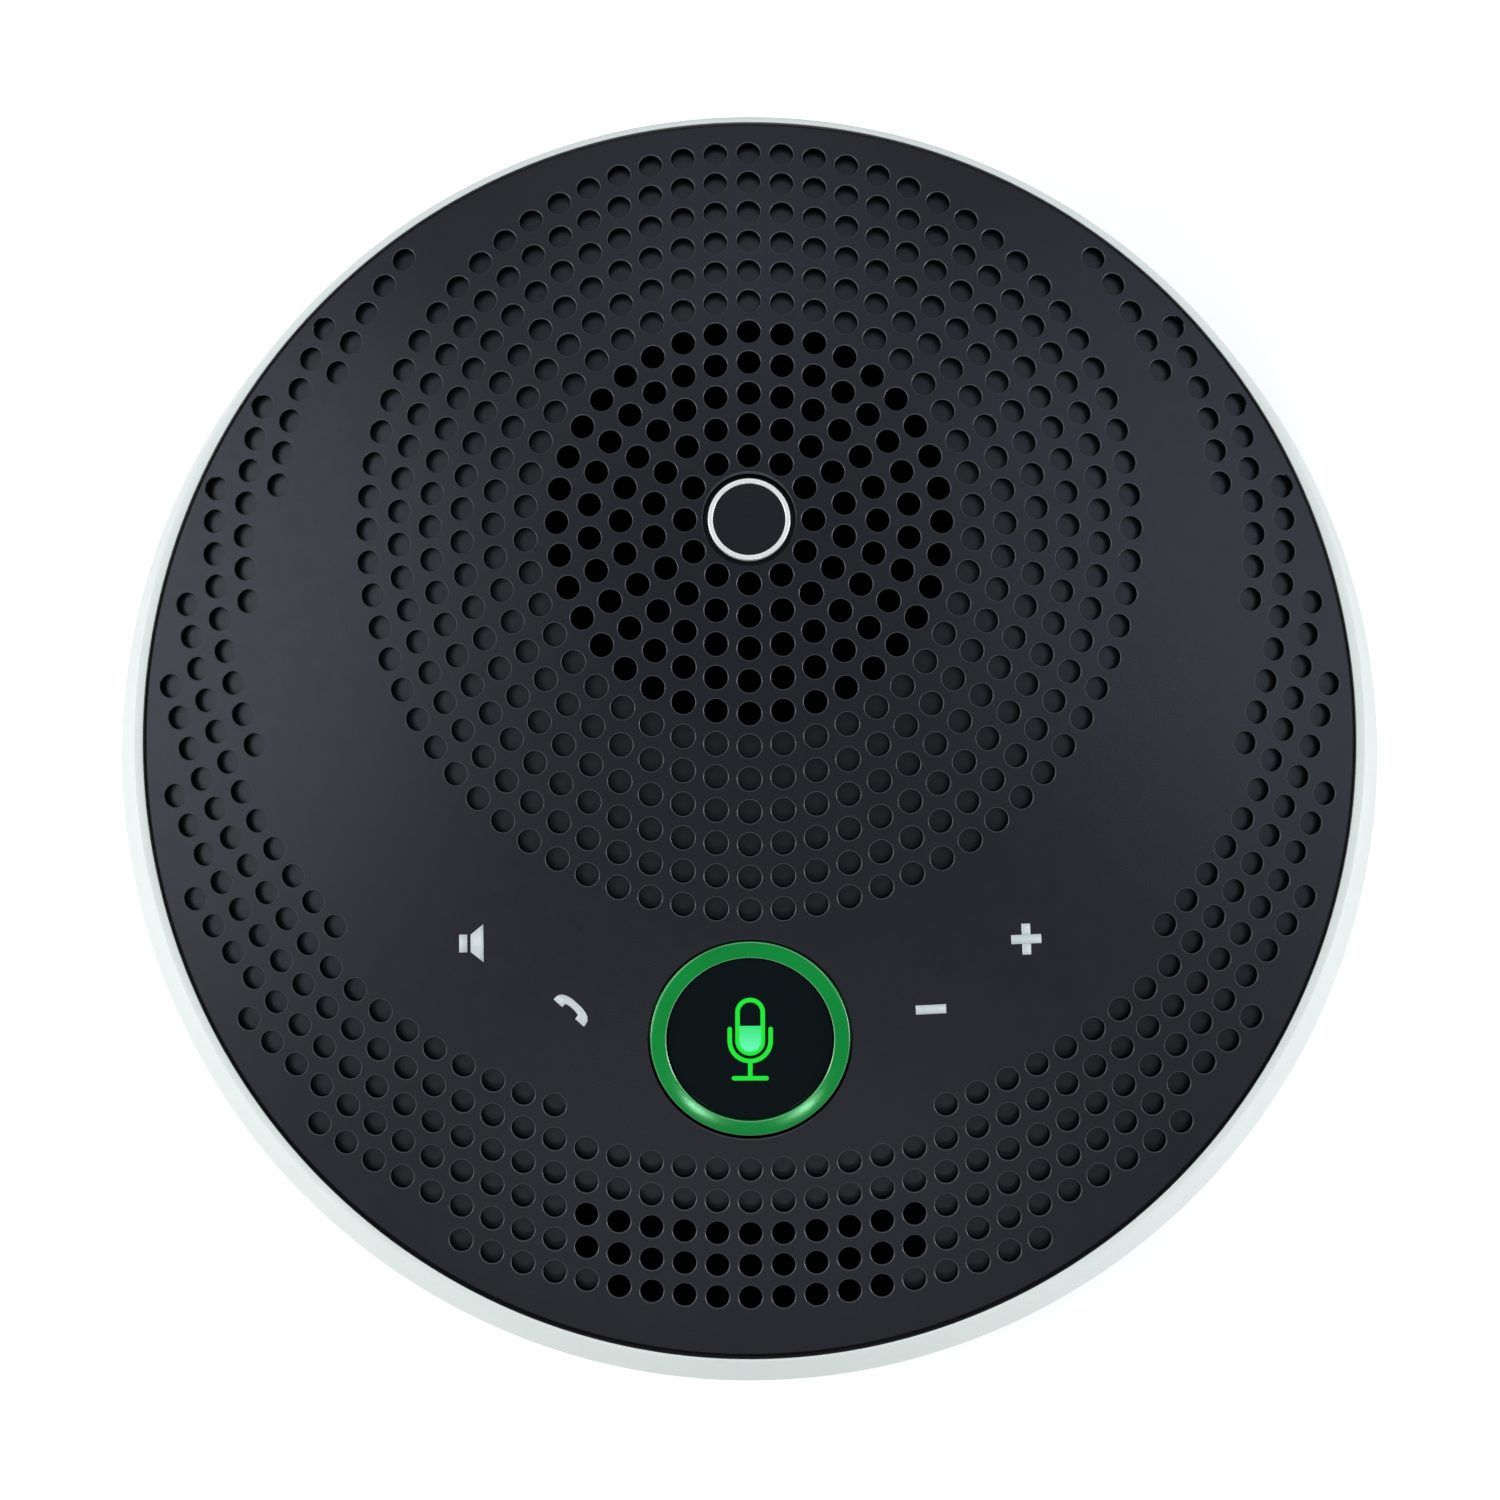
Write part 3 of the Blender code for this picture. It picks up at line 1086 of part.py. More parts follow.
def make_main_board():
    """The main board on its posts, with its shield, radio, amplifier and two screws."""
    size = (2 * BOARD_HALF_WIDTH, BOARD_BACK - BOARD_FRONT, BOARD_THICKNESS)
    centre = (0, (BOARD_FRONT + BOARD_BACK) / 2, BOARD_BOTTOM + BOARD_THICKNESS / 2)
    board = box("main_board", size, centre, BOARD)
    bored_for_screws(board, BOARD_POSTS[:2], BOARD_BOTTOM, BOARD_TOP)
    on_board_box("shield_can", SHIELD_SIZE, SHIELD_PLACE, STEEL, SHIELD_ROUND)
    on_board_box("radio_module", RADIO_SIZE, RADIO_PLACE, STEEL, RADIO_ROUND)
    on_board_box("amplifier_chip", AMPLIFIER_SIZE, AMPLIFIER_PLACE, CHIP)
    for i, (x, y) in enumerate(BOARD_POSTS[:2]):
        small_screw(f"board_screw_{i + 1}", x, y, ON_BOARD, BOARD_SCREW_LENGTH)


def make_battery():
    """The flat battery cell in its open tray on the housing's floor."""
    width, length, height = BATTERY_SIZE
    tray_bottom = FLOOR_TOP + CLEARANCE
    inside = (width + 2 * CLEARANCE, length + 2 * CLEARANCE, TRAY_HEIGHT)
    outside = (inside[0] + 2 * TRAY_WALL, inside[1] + 2 * TRAY_WALL, TRAY_HEIGHT)
    tray = box("battery_tray", outside, (BATTERY_X, 0, tray_bottom + TRAY_HEIGHT / 2), DARK_PLASTIC)
    cut(tray, box("tray_inside", inside, (BATTERY_X, 0, tray_bottom + TRAY_FLOOR + TRAY_HEIGHT / 2),
                  DARK_PLASTIC))
    box("battery_cell", BATTERY_SIZE, (BATTERY_X, 0, BATTERY_BOTTOM + height / 2), BATTERY,
        round_edges=BATTERY_ROUND)


def make_io_board(ports):
    """The arc-shaped board behind the loudspeaker, short of the pressed side buttons, and its two screws."""
    reach = min(ports[name].location.xy.length for name in ("power", "pairing"))
    outer = reach - WALL - BUTTON_SETBACK - BUTTON_FLANGE - BUTTON_TRAVEL - CLEARANCE
    points = sector(IO_BOARD_INNER, outer, 90 - IO_BOARD_SPAN, 90 + IO_BOARD_SPAN)
    middle = Matrix.Translation((0, 0, IO_BOARD_HEIGHT + IO_BOARD_THICKNESS / 2))
    board = plate("io_board", points, IO_BOARD_THICKNESS, BOARD, middle)
    bored_for_screws(board, IO_POSTS, IO_BOARD_HEIGHT, IO_TOP)
    for i, (x, y) in enumerate(IO_POSTS):
        small_screw(f"io_screw_{i + 1}", x, y, ON_IO_BOARD, IO_SCREW_LENGTH)


# ------------------------------------------------------------------ ports and side buttons, each along its radial axis

def port_level(name):
    """Height of a port's axis."""
    heights = {"usb": USB_SIZE[2], "jack": JACK_SIZE[2]}
    return ON_IO_BOARD + heights.get(name, SIDE_SWITCH_SIZE[2]) / 2


def wall_offset(angle, z):
    """How far the flared wall stands beyond the cover's outline at a height above the widest line."""
    low = widest_height(angle)
    high = edge_height(angle) - LEDGE_DROP
    share = min(max((z - low) / (high - low), 0), 1)
    return widest_offset(angle) * (1 - share) + ledge_offset(angle) * share


def port_axis(name, degrees):
    """An empty on the outside of the wall whose +Y points out through the wall."""
    angle = math.radians(90 + degrees)
    level = port_level(name)
    x, y = outline(angle, wall_offset(angle, level))
    return axis_empty(f"{name}_axis", (x, y, level), (0, 0, math.radians(degrees)))


def along_y(axis, y):
    """World matrix that stands a plate's plane square to a port's axis, at a distance along it."""
    bpy.context.view_layer.update()
    upright = Matrix.Rotation(math.radians(90), 4, "X")
    return axis.matrix_world @ Matrix.Translation((0, y, 0)) @ upright


def pin_along_y(name, radius, near, far, material, axis, steps=SMALL_STEPS):
    """A round pin along a port's axis."""
    pin = disc(name, radius, near, far, material, steps=steps)
    bpy.context.view_layer.update()
    turn = Matrix.Rotation(math.radians(-90), 4, "X")
    pin.matrix_world = axis.matrix_world @ turn
    return pin


def port_opening(name, axis):
    """The cutter for a port's opening in the wall."""
    reach = 2 * WALL
    if name == "jack":
        return pin_along_y("jack_opening", JACK_NOSE_RADIUS + CLEARANCE, -reach, WALL, PALE, axis, steps=16)
    width, height = BUTTON_SIZE if name in ("power", "pairing") else (USB_SIZE[0], USB_SIZE[2])
    points = stadium(width + 2 * CLEARANCE, height + 2 * CLEARANCE)
    return plate(f"{name}_opening", points, 2 * reach, PALE, along_y(axis, 0))


def make_side_button(name, axis):
    """A pill-shaped cap with a retaining flange and a stem, and the switch behind it."""
    width, height = BUTTON_SIZE
    seat = -(WALL + BUTTON_SETBACK)
    back = seat - BUTTON_FLANGE
    length = BUTTON_PROUD - back
    cap = plate(f"{name}_button", stadium(width, height), length, PALE, along_y(axis, BUTTON_PROUD - length / 2))
    flange = stadium(width + 2 * BUTTON_FLANGE_REACH, height + 2 * BUTTON_FLANGE_REACH)
    join(cap, plate(f"{name}_flange", flange, BUTTON_FLANGE, PALE, along_y(axis, back + BUTTON_FLANGE / 2)))
    tip = back - STEM_LENGTH
    join(cap, pin_along_y(f"{name}_stem", STEM_RADIUS, tip, back + BUTTON_FLANGE / 2, PALE, axis))
    front = tip + SWITCH_WELL_DEPTH - BUTTON_TRAVEL - CLEARANCE
    size = SIDE_SWITCH_SIZE
    switch = box(f"{name}_switch", size, (0, front - size[1] / 2, 0), CHIP, parent=axis)
    cut(switch, pin_along_y(f"{name}_switch_well", STEM_RADIUS + CLEARANCE, front - SWITCH_WELL_DEPTH,
                            front + WALL, CHIP, axis))


def make_usb(axis):
    """The USB socket: a metal shell with a mouth and a tongue in one piece."""
    width, depth, height = USB_SIZE
    front = -PORT_SETBACK
    socket = plate("usb_socket", stadium(width, height), depth, STEEL, along_y(axis, front - depth / 2))
    mouth = stadium(width - 2 * USB_SHELL, height - 2 * USB_SHELL)
    cut(socket, plate("usb_mouth", mouth, 2 * USB_MOUTH_DEPTH, STEEL, along_y(axis, front)))
    tongue = (width - 2 * (USB_SHELL + TONGUE_SIDE_GAP), USB_MOUTH_DEPTH, TONGUE_THICKNESS)
    join(socket, box("usb_tongue", tongue, (0, front - TONGUE_SETBACK - USB_MOUTH_DEPTH / 2, 0), STEEL,
                     parent=axis))


def make_jack(axis):
    """The headphone socket: a block with a round nose and a bore."""
    width, depth, height = JACK_SIZE
    block_front = -(WALL + JACK_SETBACK)
    socket = box("headphone_socket", JACK_SIZE, (0, block_front - depth / 2, 0), DARK_PLASTIC, parent=axis)
    join(socket, pin_along_y("jack_nose", JACK_NOSE_RADIUS, block_front - WALL, -PORT_SETBACK, DARK_PLASTIC,
                             axis, steps=16))
    cut(socket, pin_along_y("jack_bore", JACK_BORE_RADIUS, block_front - depth + WALL, WALL, DARK_PLASTIC,
                            axis, steps=16))


# ------------------------------------------------------------------ leads

def make_leads():
    """The short leads between the boards, the battery and the loudspeaker, routed in whole steps."""
    over = ON_BOARD
    end_y = -BATTERY_SIZE[1] / 2 - CLEARANCE
    top = BATTERY_BOTTOM + BATTERY_SIZE[2] - 2.5 * STEP
    lead("battery_lead", [
        (BATTERY_X - 5 * STEP, end_y, top),
        (BATTERY_X - 5 * STEP, end_y - 4 * STEP, top),
        (BATTERY_X - 11 * STEP, end_y - 8 * STEP, top + 1 * STEP),
        (BOARD_HALF_WIDTH - 4 * STEP, end_y - 9 * STEP, over + 3 * STEP),
        (BOARD_HALF_WIDTH - 4 * STEP, end_y - 9 * STEP, over),
    ], RED_WIRE)
    lead("speaker_lead", [
        (0, TAB_Y - 1 * STEP, FLANGE_BOTTOM - CLEARANCE),
        (0, TAB_Y - 1 * STEP, FLANGE_BOTTOM - 6 * STEP),
        (0, TAB_Y - 2 * STEP, over + 8 * STEP),
        (0, BOARD_BACK - 3 * STEP, over + 4 * STEP),
        (0, BOARD_BACK - 3 * STEP, over),
    ], RED_WIRE)
    tilt = math.atan(dome_slope(0, MUTE_Y))
    reach = MUTE_BOARD_TOP - MUTE_BOARD_THICKNESS - CLEARANCE
    side = -8 * STEP
    end = Vector((side, MUTE_Y - reach * math.sin(tilt), MUTE_ORIGIN_Z + reach * math.cos(tilt)))
    down = Vector((0, math.sin(tilt), -math.cos(tilt)))
    lead("touch_lead", [
        end,
        end + down * 2 * STEP,
        (side, end.y + 2 * STEP, over + 3 * STEP),
        (side, end.y + 2 * STEP, over),
    ], RED_WIRE, fine=7)
    io_x, io_y = around(IO_POST_REACH, 90 + IO_BOARD_SPAN - IO_LEAD_INSET)
    lead("io_lead", [
        (-BOARD_HALF_WIDTH + 7 * STEP, BOARD_BACK - 3 * STEP, over),
        (-BOARD_HALF_WIDTH + 7 * STEP, BOARD_BACK - 2 * STEP, over + 4 * STEP),
        (-DRIVER_RADIUS - 4 * STEP, BOARD_BACK + 10 * STEP, over + 5 * STEP),
        (-DRIVER_RADIUS - 6 * STEP, BADGE_Y, over + 6 * STEP),
        (-DRIVER_RADIUS - 1 * STEP, BADGE_Y + 22 * STEP, IO_TOP + 3 * STEP),
        (io_x, io_y - 1 * STEP, IO_TOP + 4.5 * STEP),
        (io_x, io_y, ON_IO_BOARD),
    ], RED_WIRE, fine=15)


# ------------------------------------------------------------------ assembly

def tilted_axis(name, y):
    """An empty on the cover's outside whose +Z is square to the slope."""
    tilt = math.atan(dome_slope(0, y))
    return axis_empty(name, (0, y, float(dome_height(0, y))), (tilt, 0, 0))


def build():
    """Makes every piece."""
    mute = tilted_axis("mute_axis", MUTE_Y)
    mic = tilted_axis("mic_axis", MIC_Y)
    angles = {"usb": USB_ANGLE, "jack": JACK_ANGLE, "pairing": PAIRING_ANGLE, "power": POWER_ANGLE}
    ports = {name: port_axis(name, degrees) for name, degrees in angles.items()}
    bpy.context.view_layer.update()
    make_cover(mute)
    make_badge()
    make_housing(ports)
    lofted("seam_ring", seam_section, RUBBER, closed=True)
    make_foot_and_screws()
    make_magnet_system()
    make_basket()
    make_suspension()
    make_moving_cone()
    make_speaker_seals_and_screws()
    make_mute(mute)
    make_films()
    make_microphone(mic)
    make_main_board()
    make_battery()
    make_io_board(ports)
    make_side_button("power", ports["power"])
    make_side_button("pairing", ports["pairing"])
    make_usb(ports["usb"])
    make_jack(ports["jack"])
    make_leads()
    bpy.context.view_layer.update()


build()
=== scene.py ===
# %% [markdown]
# A round conference speakerphone, seen from almost straight above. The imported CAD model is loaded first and
# stays the frame for everything: each new piece takes its size and place from it, so nothing is fitted by
# eye. The real object is two plastic mouldings, a perforated dark cover on a pale bowl, with a badge, a
# round mute button in a light ring and four touch keys. Lengths are in metres; MM makes them read as on a
# drawing.

# %% Load the frame
import math

import bmesh
import bpy
import numpy as np
from mathutils import Matrix, Vector


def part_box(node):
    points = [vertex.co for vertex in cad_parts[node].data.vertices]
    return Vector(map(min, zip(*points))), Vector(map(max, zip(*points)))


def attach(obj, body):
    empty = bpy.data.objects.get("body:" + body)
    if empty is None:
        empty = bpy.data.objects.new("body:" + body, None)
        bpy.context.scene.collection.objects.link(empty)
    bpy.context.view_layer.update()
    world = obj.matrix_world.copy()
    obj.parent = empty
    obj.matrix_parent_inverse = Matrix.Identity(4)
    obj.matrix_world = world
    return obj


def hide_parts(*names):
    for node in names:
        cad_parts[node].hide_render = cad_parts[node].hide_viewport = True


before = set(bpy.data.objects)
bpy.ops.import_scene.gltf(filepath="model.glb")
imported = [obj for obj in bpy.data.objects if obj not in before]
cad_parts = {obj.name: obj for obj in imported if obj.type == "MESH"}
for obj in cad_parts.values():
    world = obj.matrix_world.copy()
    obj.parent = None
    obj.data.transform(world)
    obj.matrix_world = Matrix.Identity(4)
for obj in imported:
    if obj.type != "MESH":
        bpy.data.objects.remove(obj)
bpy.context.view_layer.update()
MM = 0.001
TURN = 2 * math.pi

# %% [markdown]
# The cover is a paraboloid whose apex lies behind the middle, eased by a fourth-power term, so the body
# slopes down to the user. Every hole, key and button follows from this one formula, so it comes first. Its
# half width and half depth are read from the frame, and its heights are the ones that the solid was drawn
# with.

# %% The cover's form
COVER_HIGH = np.array(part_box("top_cover")[1])
HALF_WIDTH = COVER_HIGH[0]
HALF_DEPTH = COVER_HIGH[1]
BADGE_Y = sum(corner[1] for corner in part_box("badge_disc")) / 2
APEX_SETBACK = 5.0 * MM
APEX_HEIGHT = 36.5 * MM
DOME_SPAN = 76.0 * MM
DOME_FALL = 18.0 * MM
DOME_EASE = 3.0 * MM
COVER_WALL = 2.2 * MM
LIP_DEPTH = 3.0 * MM
LIP_WALL = 1.2 * MM


def dome_height(x, y):
    """Apex height, less the fall times the reach squared, plus the ease times the reach to the fourth."""
    reach = np.hypot(x, y - BADGE_Y - APEX_SETBACK) / DOME_SPAN
    return APEX_HEIGHT - DOME_FALL * reach**2 + DOME_EASE * reach**4


def dome_normal(x, y):
    """The upward normal at unit length: minus the slope along x, minus the slope along y, and one."""
    y = y - BADGE_Y - APEX_SETBACK
    steep = (2 * DOME_FALL - 4 * DOME_EASE * (x**2 + y**2) / DOME_SPAN**2) / DOME_SPAN**2
    way = np.stack([x * steep, y * steep, np.ones_like(x)], axis=-1)
    return way / np.linalg.norm(way, axis=-1, keepdims=True)


def outline(angle, offset=0.0):
    """Plan points on the cover's oval: half width and half depth, plus an offset, times cosine and sine."""
    return (HALF_WIDTH + offset) * np.cos(angle), (HALF_DEPTH + offset) * np.sin(angle)


print("cover: %.1f x %.1f mm, badge at y %.1f mm" % (2e3 * HALF_WIDTH, 2e3 * HALF_DEPTH, 1e3 * BADGE_Y))

# %% [markdown]
# All new pieces are grids of points. A grid is rows by columns, neighbours become quads, and it can wrap
# round either way. Modelling by hand, with loops and extrusions, would also work, but points that are
# worked out from named sizes stay exact and are easy to change.

# %% Grids of points
def grid_faces(rows, columns, wrap_rows=False, wrap_columns=True):
    """Quads that join each point of a grid to the next in its row and in its column."""
    row = np.arange(rows if wrap_rows else rows - 1)
    column = np.arange(columns if wrap_columns else columns - 1)
    low, left = np.meshgrid(row, column, indexing="ij")
    high, right = (low + 1) % rows, (left + 1) % columns
    corners = [low * columns + left, low * columns + right, high * columns + right, high * columns + left]
    return np.stack(corners, axis=-1).reshape(-1, 4)


def joined(grids):
    """Several (points, faces) pairs as one: each grid's faces count on from the points before it."""
    points, faces, count = [], [], 0
    for grid, quads in grids:
        points.append(grid.reshape(-1, 3))
        faces.append(quads + count)
        count += len(points[-1])
    return np.concatenate(points), np.concatenate(faces)


print("a grid of 3 x 4 points, wrapped round, has", len(grid_faces(3, 4)), "quads")

# %% [markdown]
# No moulded edge is sharp. A Bevel modifier could round every edge by one size, but here each corner of a
# profile has its own: a short curve leaves one side and joins the next, so the rounding is part of the
# form.

# %% Rounded profiles
CURVE_STEPS = 5
TINY = 1e-9


def rounded(corners, reach, steps=CURVE_STEPS):
    """Each corner becomes a curve from a reach before it to a reach after it, by the three-point blend
    (1-t)^2 start + 2t(1-t) corner + t^2 end. A corner with no reach stays sharp."""
    corners = np.asarray(corners, dtype=float)
    shape = (-1,) + (1,) * (corners.ndim - 1)
    reach = np.broadcast_to(reach, len(corners)).reshape(shape)
    sides = []
    for shift in (1, -1):
        way = np.roll(corners, shift, axis=0) - corners
        sides.append(corners + way * reach / np.maximum(np.linalg.norm(way, axis=-1, keepdims=True), TINY))
    t = np.linspace(0, 1, steps).reshape((1, -1) + (1,) * (corners.ndim - 1))
    start, corner, end = (np.expand_dims(part, 1) for part in (sides[0], corners, sides[1]))
    curve = (1 - t)**2 * start + 2 * t * (1 - t) * corner + t**2 * end
    return curve.reshape(-1, *corners.shape[1:])


print("a square with rounded corners has", len(rounded([(0, 0), (1, 0), (1, 1), (0, 1)], 0.2)), "points")

# %% [markdown]
# A grid becomes a mesh in one call. Points that coincide, such as those at a pole, are merged, and the
# faces are turned outwards. The piece is then shaded smooth, but for its sharp edges, and rides on its
# body, so that it moves when a button is pressed.

# %% Meshes and pieces
MERGE_REACH = 1e-6
FLAT_REACH = 1e-7


def mesh_of(name, points, faces):
    """A mesh from arrays, with coincident points merged and faces turned outwards."""
    mesh = bpy.data.meshes.new(name)
    mesh.from_pydata(np.asarray(points).reshape(-1, 3).tolist(), [], np.asarray(faces).tolist())
    bm = bmesh.new()
    bm.from_mesh(mesh)
    bmesh.ops.remove_doubles(bm, verts=bm.verts, dist=MERGE_REACH)
    bmesh.ops.dissolve_degenerate(bm, dist=FLAT_REACH, edges=bm.edges)
    bmesh.ops.recalc_face_normals(bm, faces=bm.faces)
    bm.to_mesh(mesh)
    bm.free()
    return mesh


def grid_mesh(name, points, wrap_rows=False):
    """A mesh from one grid that wraps round its columns, and round its rows too where asked."""
    return mesh_of(name, points, grid_faces(*points.shape[:2], wrap_rows=wrap_rows))


def shade(mesh, sharp):
    """Smooth shading, but for edges sharper than an angle in degrees."""
    mesh.shade_smooth()
    mesh.set_sharp_from_angle(angle=math.radians(sharp))


def add_piece(name, mesh, finish, body="housing", sharp=40):
    """A named piece with its finish, shaded, riding on a body."""
    mesh.materials.append(finish)
    shade(mesh, sharp)
    piece = bpy.data.objects.new(name, mesh)
    bpy.context.scene.collection.objects.link(piece)
    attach(piece, body)
    return piece


# %% [markdown]
# The badge, the foot, the light ring and the cap are round, as if made on a lathe. A Screw modifier could
# turn their profiles, but a turned grid takes its place at once, so the piece's origin can stay at the
# scene's own.

# %% Turned pieces
ROUND_SIDES = 96
FINE_SIDES = 128
FOOT_SIDES = 160


def moved(points, place):
    """Points turned and shifted by a matrix: each is a row, times the turned axes, plus the shift."""
    return points @ np.array(place.to_3x3()).T + np.array(place.translation)


def turned(profile, sides=ROUND_SIDES, place=Matrix()):
    """Points of a turned skin: each (radius, height) goes round a circle, then a matrix moves the whole."""
    angle = np.arange(sides) * TURN / sides
    radius, height = np.asarray(profile, dtype=float).T[:, :, None]
    points = np.stack(np.broadcast_arrays(radius * np.cos(angle), radius * np.sin(angle), height), axis=-1)
    return moved(points, place)


def turned_piece(name, profile, finish, body="housing", ring=False, place=Matrix(), sides=ROUND_SIDES):
    """A turned piece; a ring's profile closes on itself and any other runs from pole to pole."""
    mesh = grid_mesh(name, turned(profile, sides, place), wrap_rows=ring)
    return add_piece(name, mesh, finish, body)


print("a turned disc has", turned([(0, 0), (1, 0), (0, 1)]).shape[:2], "points")

# %% [markdown]
# Finishes come next. A material is a small graph: nodes feed values into the shader. Values that are the
# same all over sit on the shader's own sockets, because only those survive the export. Patterns read object
# coordinates, which stay with the piece and are in metres.

# %% A finish and its nodes
def new_finish(name, color, roughness, metallic=0.0, **sockets):
    """A material whose constant values sit on the shader's own sockets."""
    material = bpy.data.materials.new(name)
    material.use_nodes = True
    shader = material.node_tree.nodes["Principled BSDF"]
    values = {"Base Color": (*color, 1.0), "Roughness": roughness, "Metallic": metallic, **sockets}
    for socket, value in values.items():
        shader.inputs[socket].default_value = value
    return material, shader


def add_node(material, kind, settings=None, **inputs):
    """A node with its settings and its input values or links; _0 means the first input."""
    node = material.node_tree.nodes.new(kind)
    for key, value in (settings or {}).items():
        setattr(node, key, value)
    for socket, value in inputs.items():
        target = node.inputs[int(socket[1:])] if socket[0] == "_" else node.inputs[socket]
        if isinstance(value, bpy.types.NodeSocket):
            material.node_tree.links.new(value, target)
        else:
            target.default_value = value
    return node


def object_place(material):
    """Object coordinates, in metres."""
    return add_node(material, "ShaderNodeTexCoord").outputs["Object"]


def feed(material, shader, socket, value):
    """Links a node's value into one of the shader's sockets."""
    material.node_tree.links.new(value, shader.inputs[socket])


print("finishes read object coordinates")

# %% [markdown]
# Three things bring a surface to life: a colour that isn't quite even, a gloss that wanders, and a relief
# too fine to model. An image could hold them, but noise has no seams and no edge, and its grain has a real
# size.

# %% Noise, tone, gloss and relief
def noise(material, size, detail=2.0, stretch=(1, 1, 1), roughness=0.5):
    """Noise in object coordinates with features of about a size in metres, stretched along the axes."""
    scaled = add_node(material, "ShaderNodeMapping", Vector=object_place(material), Scale=stretch).outputs[0]
    return add_node(material, "ShaderNodeTexNoise", Vector=scaled, Scale=1 / size, Detail=detail,
                    Roughness=roughness).outputs["Fac"]


def spread(material, value, low, high, start=0.3, stop=0.7):
    """Maps a value's range, as a rule noise's middle range, onto low to high."""
    node = add_node(material, "ShaderNodeMapRange")
    for socket, number in zip(node.inputs[1:5], (start, stop, low, high)):
        socket.default_value = number
    material.node_tree.links.new(value, node.inputs[0])
    return node.outputs[0]


def blend(material, value, low_color, high_color):
    """The first colour where a value is nought, the second where it is one."""
    mix = add_node(material, "ShaderNodeMix", {"data_type": "RGBA"}, _0=value)
    mix.inputs[6].default_value = (*low_color, 1.0)
    mix.inputs[7].default_value = (*high_color, 1.0)
    return mix.outputs[2]


def wander(material, shader, value, roughness, reach):
    """Lets the gloss wander with a value by a reach either side of its roughness."""
    feed(material, shader, "Roughness", spread(material, value, roughness - reach, roughness + reach))


def bump(material, shader, height, depth, strength=1.0):
    """Tilts the normals as if the surface rose by a depth where the value is high."""
    node = add_node(material, "ShaderNodeBump", Height=height, Distance=depth, Strength=strength)
    feed(material, shader, "Normal", node.outputs[0])


print("noise, tone, gloss and relief are ready")

# %% [markdown]
# Moulded plastic is never one flat colour: the tool leaves a fine spark-eroded grain, the gloss wanders a
# little, and the colour has faint clouds. One helper builds all of that, so each plastic differs only in
# its numbers. Rolled or plated metal has streaks instead, drawn out along one axis.

# %% Moulded plastic and rolled metal
CLOUD_SIZE = 9 * MM
GLOSS_PATCH = 2.5 * MM
GLOSS_WANDER = 0.02
STREAK_SIZE = 4 * MM
STREAK_STRETCH = (1, 40, 1)
STREAK_WANDER = 0.1
STREAK_DEPTH = 0.01 * MM
STREAK_STRENGTH = 0.4


def moulded(name, color, roughness, grain, depth, cloud=0.08, **sockets):
    """Moulded plastic or rubber: clouded colour, wandering gloss and an eroded grain of a size and depth."""
    material, shader = new_finish(name, color, roughness, **sockets)
    color = np.array(color)
    clouds = spread(material, noise(material, CLOUD_SIZE, 3.0), 0, 1)
    feed(material, shader, "Base Color", blend(material, clouds, color * (1 - cloud), color * (1 + cloud)))
    wander(material, shader, noise(material, GLOSS_PATCH, 2.0), roughness, GLOSS_WANDER)
    bump(material, shader, noise(material, grain, 3.0, roughness=0.6), depth)
    return material


def rolled_metal(name, color, roughness):
    """Rolled or plated metal: streaks drawn out along one axis, in gloss and in height."""
    material, shader = new_finish(name, color, roughness, metallic=1.0)
    streaks = noise(material, STREAK_SIZE, 4.0, STREAK_STRETCH)
    wander(material, shader, streaks, roughness, STREAK_WANDER)
    bump(material, shader, streaks, STREAK_DEPTH, STREAK_STRENGTH)
    return material


print("moulded plastic: clouds of %.0f mm, gloss patches of %.1f mm" % (CLOUD_SIZE / MM, GLOSS_PATCH / MM))

# %% [markdown]
# The cover is bluish charcoal with a satin gloss, so wide lamps spread over it as a soft sheen. The bevels
# round its holes get a lighter tone, which is a painted highlight, and the side walls below them a darker
# one, which is painted shade. The bowl is a cool near-white, and the foot and the gasket are black rubber.

# %% Finishes of cover, bowl and foot
COVER_GRAIN = 0.22 * MM
CHARCOAL = moulded("charcoal_satin_plastic", (0.0045, 0.0052, 0.0075), roughness=0.38, grain=COVER_GRAIN,
                   depth=0.02 * MM,
                   **{"Specular IOR Level": 0.41, "Specular Tint": (0.80, 0.86, 1.0, 1.0)})
# A lighter charcoal on the bevels round the holes: a painted highlight.
BEVEL_PAINTED_HIGHLIGHT = moulded("charcoal_bevel_painted_highlight", (0.045, 0.047, 0.054), roughness=0.38, grain=COVER_GRAIN,
                         depth=0.005 * MM,
                         **{"Specular IOR Level": 0.45, "Specular Tint": (0.80, 0.86, 1.0, 1.0)})
# A near-black charcoal on the side walls of holes and seats and on the rim's round: painted shade.
WALL_PAINTED_SHADE = moulded("charcoal_side_walls_painted_shade", (0.0012, 0.0013, 0.0016), roughness=0.6, grain=COVER_GRAIN,
                          depth=0.005 * MM, **{"Specular IOR Level": 0.08})
PALE = moulded("pale_satin_plastic", (0.71, 0.78, 0.755), roughness=0.42, grain=0.25 * MM, depth=0.006 * MM,
               cloud=0.015)
RUBBER = moulded("black_foot_rubber", (0.018, 0.018, 0.019), roughness=0.78, grain=0.3 * MM, depth=0.02 * MM)
OUTER_FINISHES = (CHARCOAL, BEVEL_PAINTED_HIGHLIGHT, WALL_PAINTED_SHADE, PALE, RUBBER)
print("outer finishes:", ", ".join(finish.name for finish in OUTER_FINISHES))
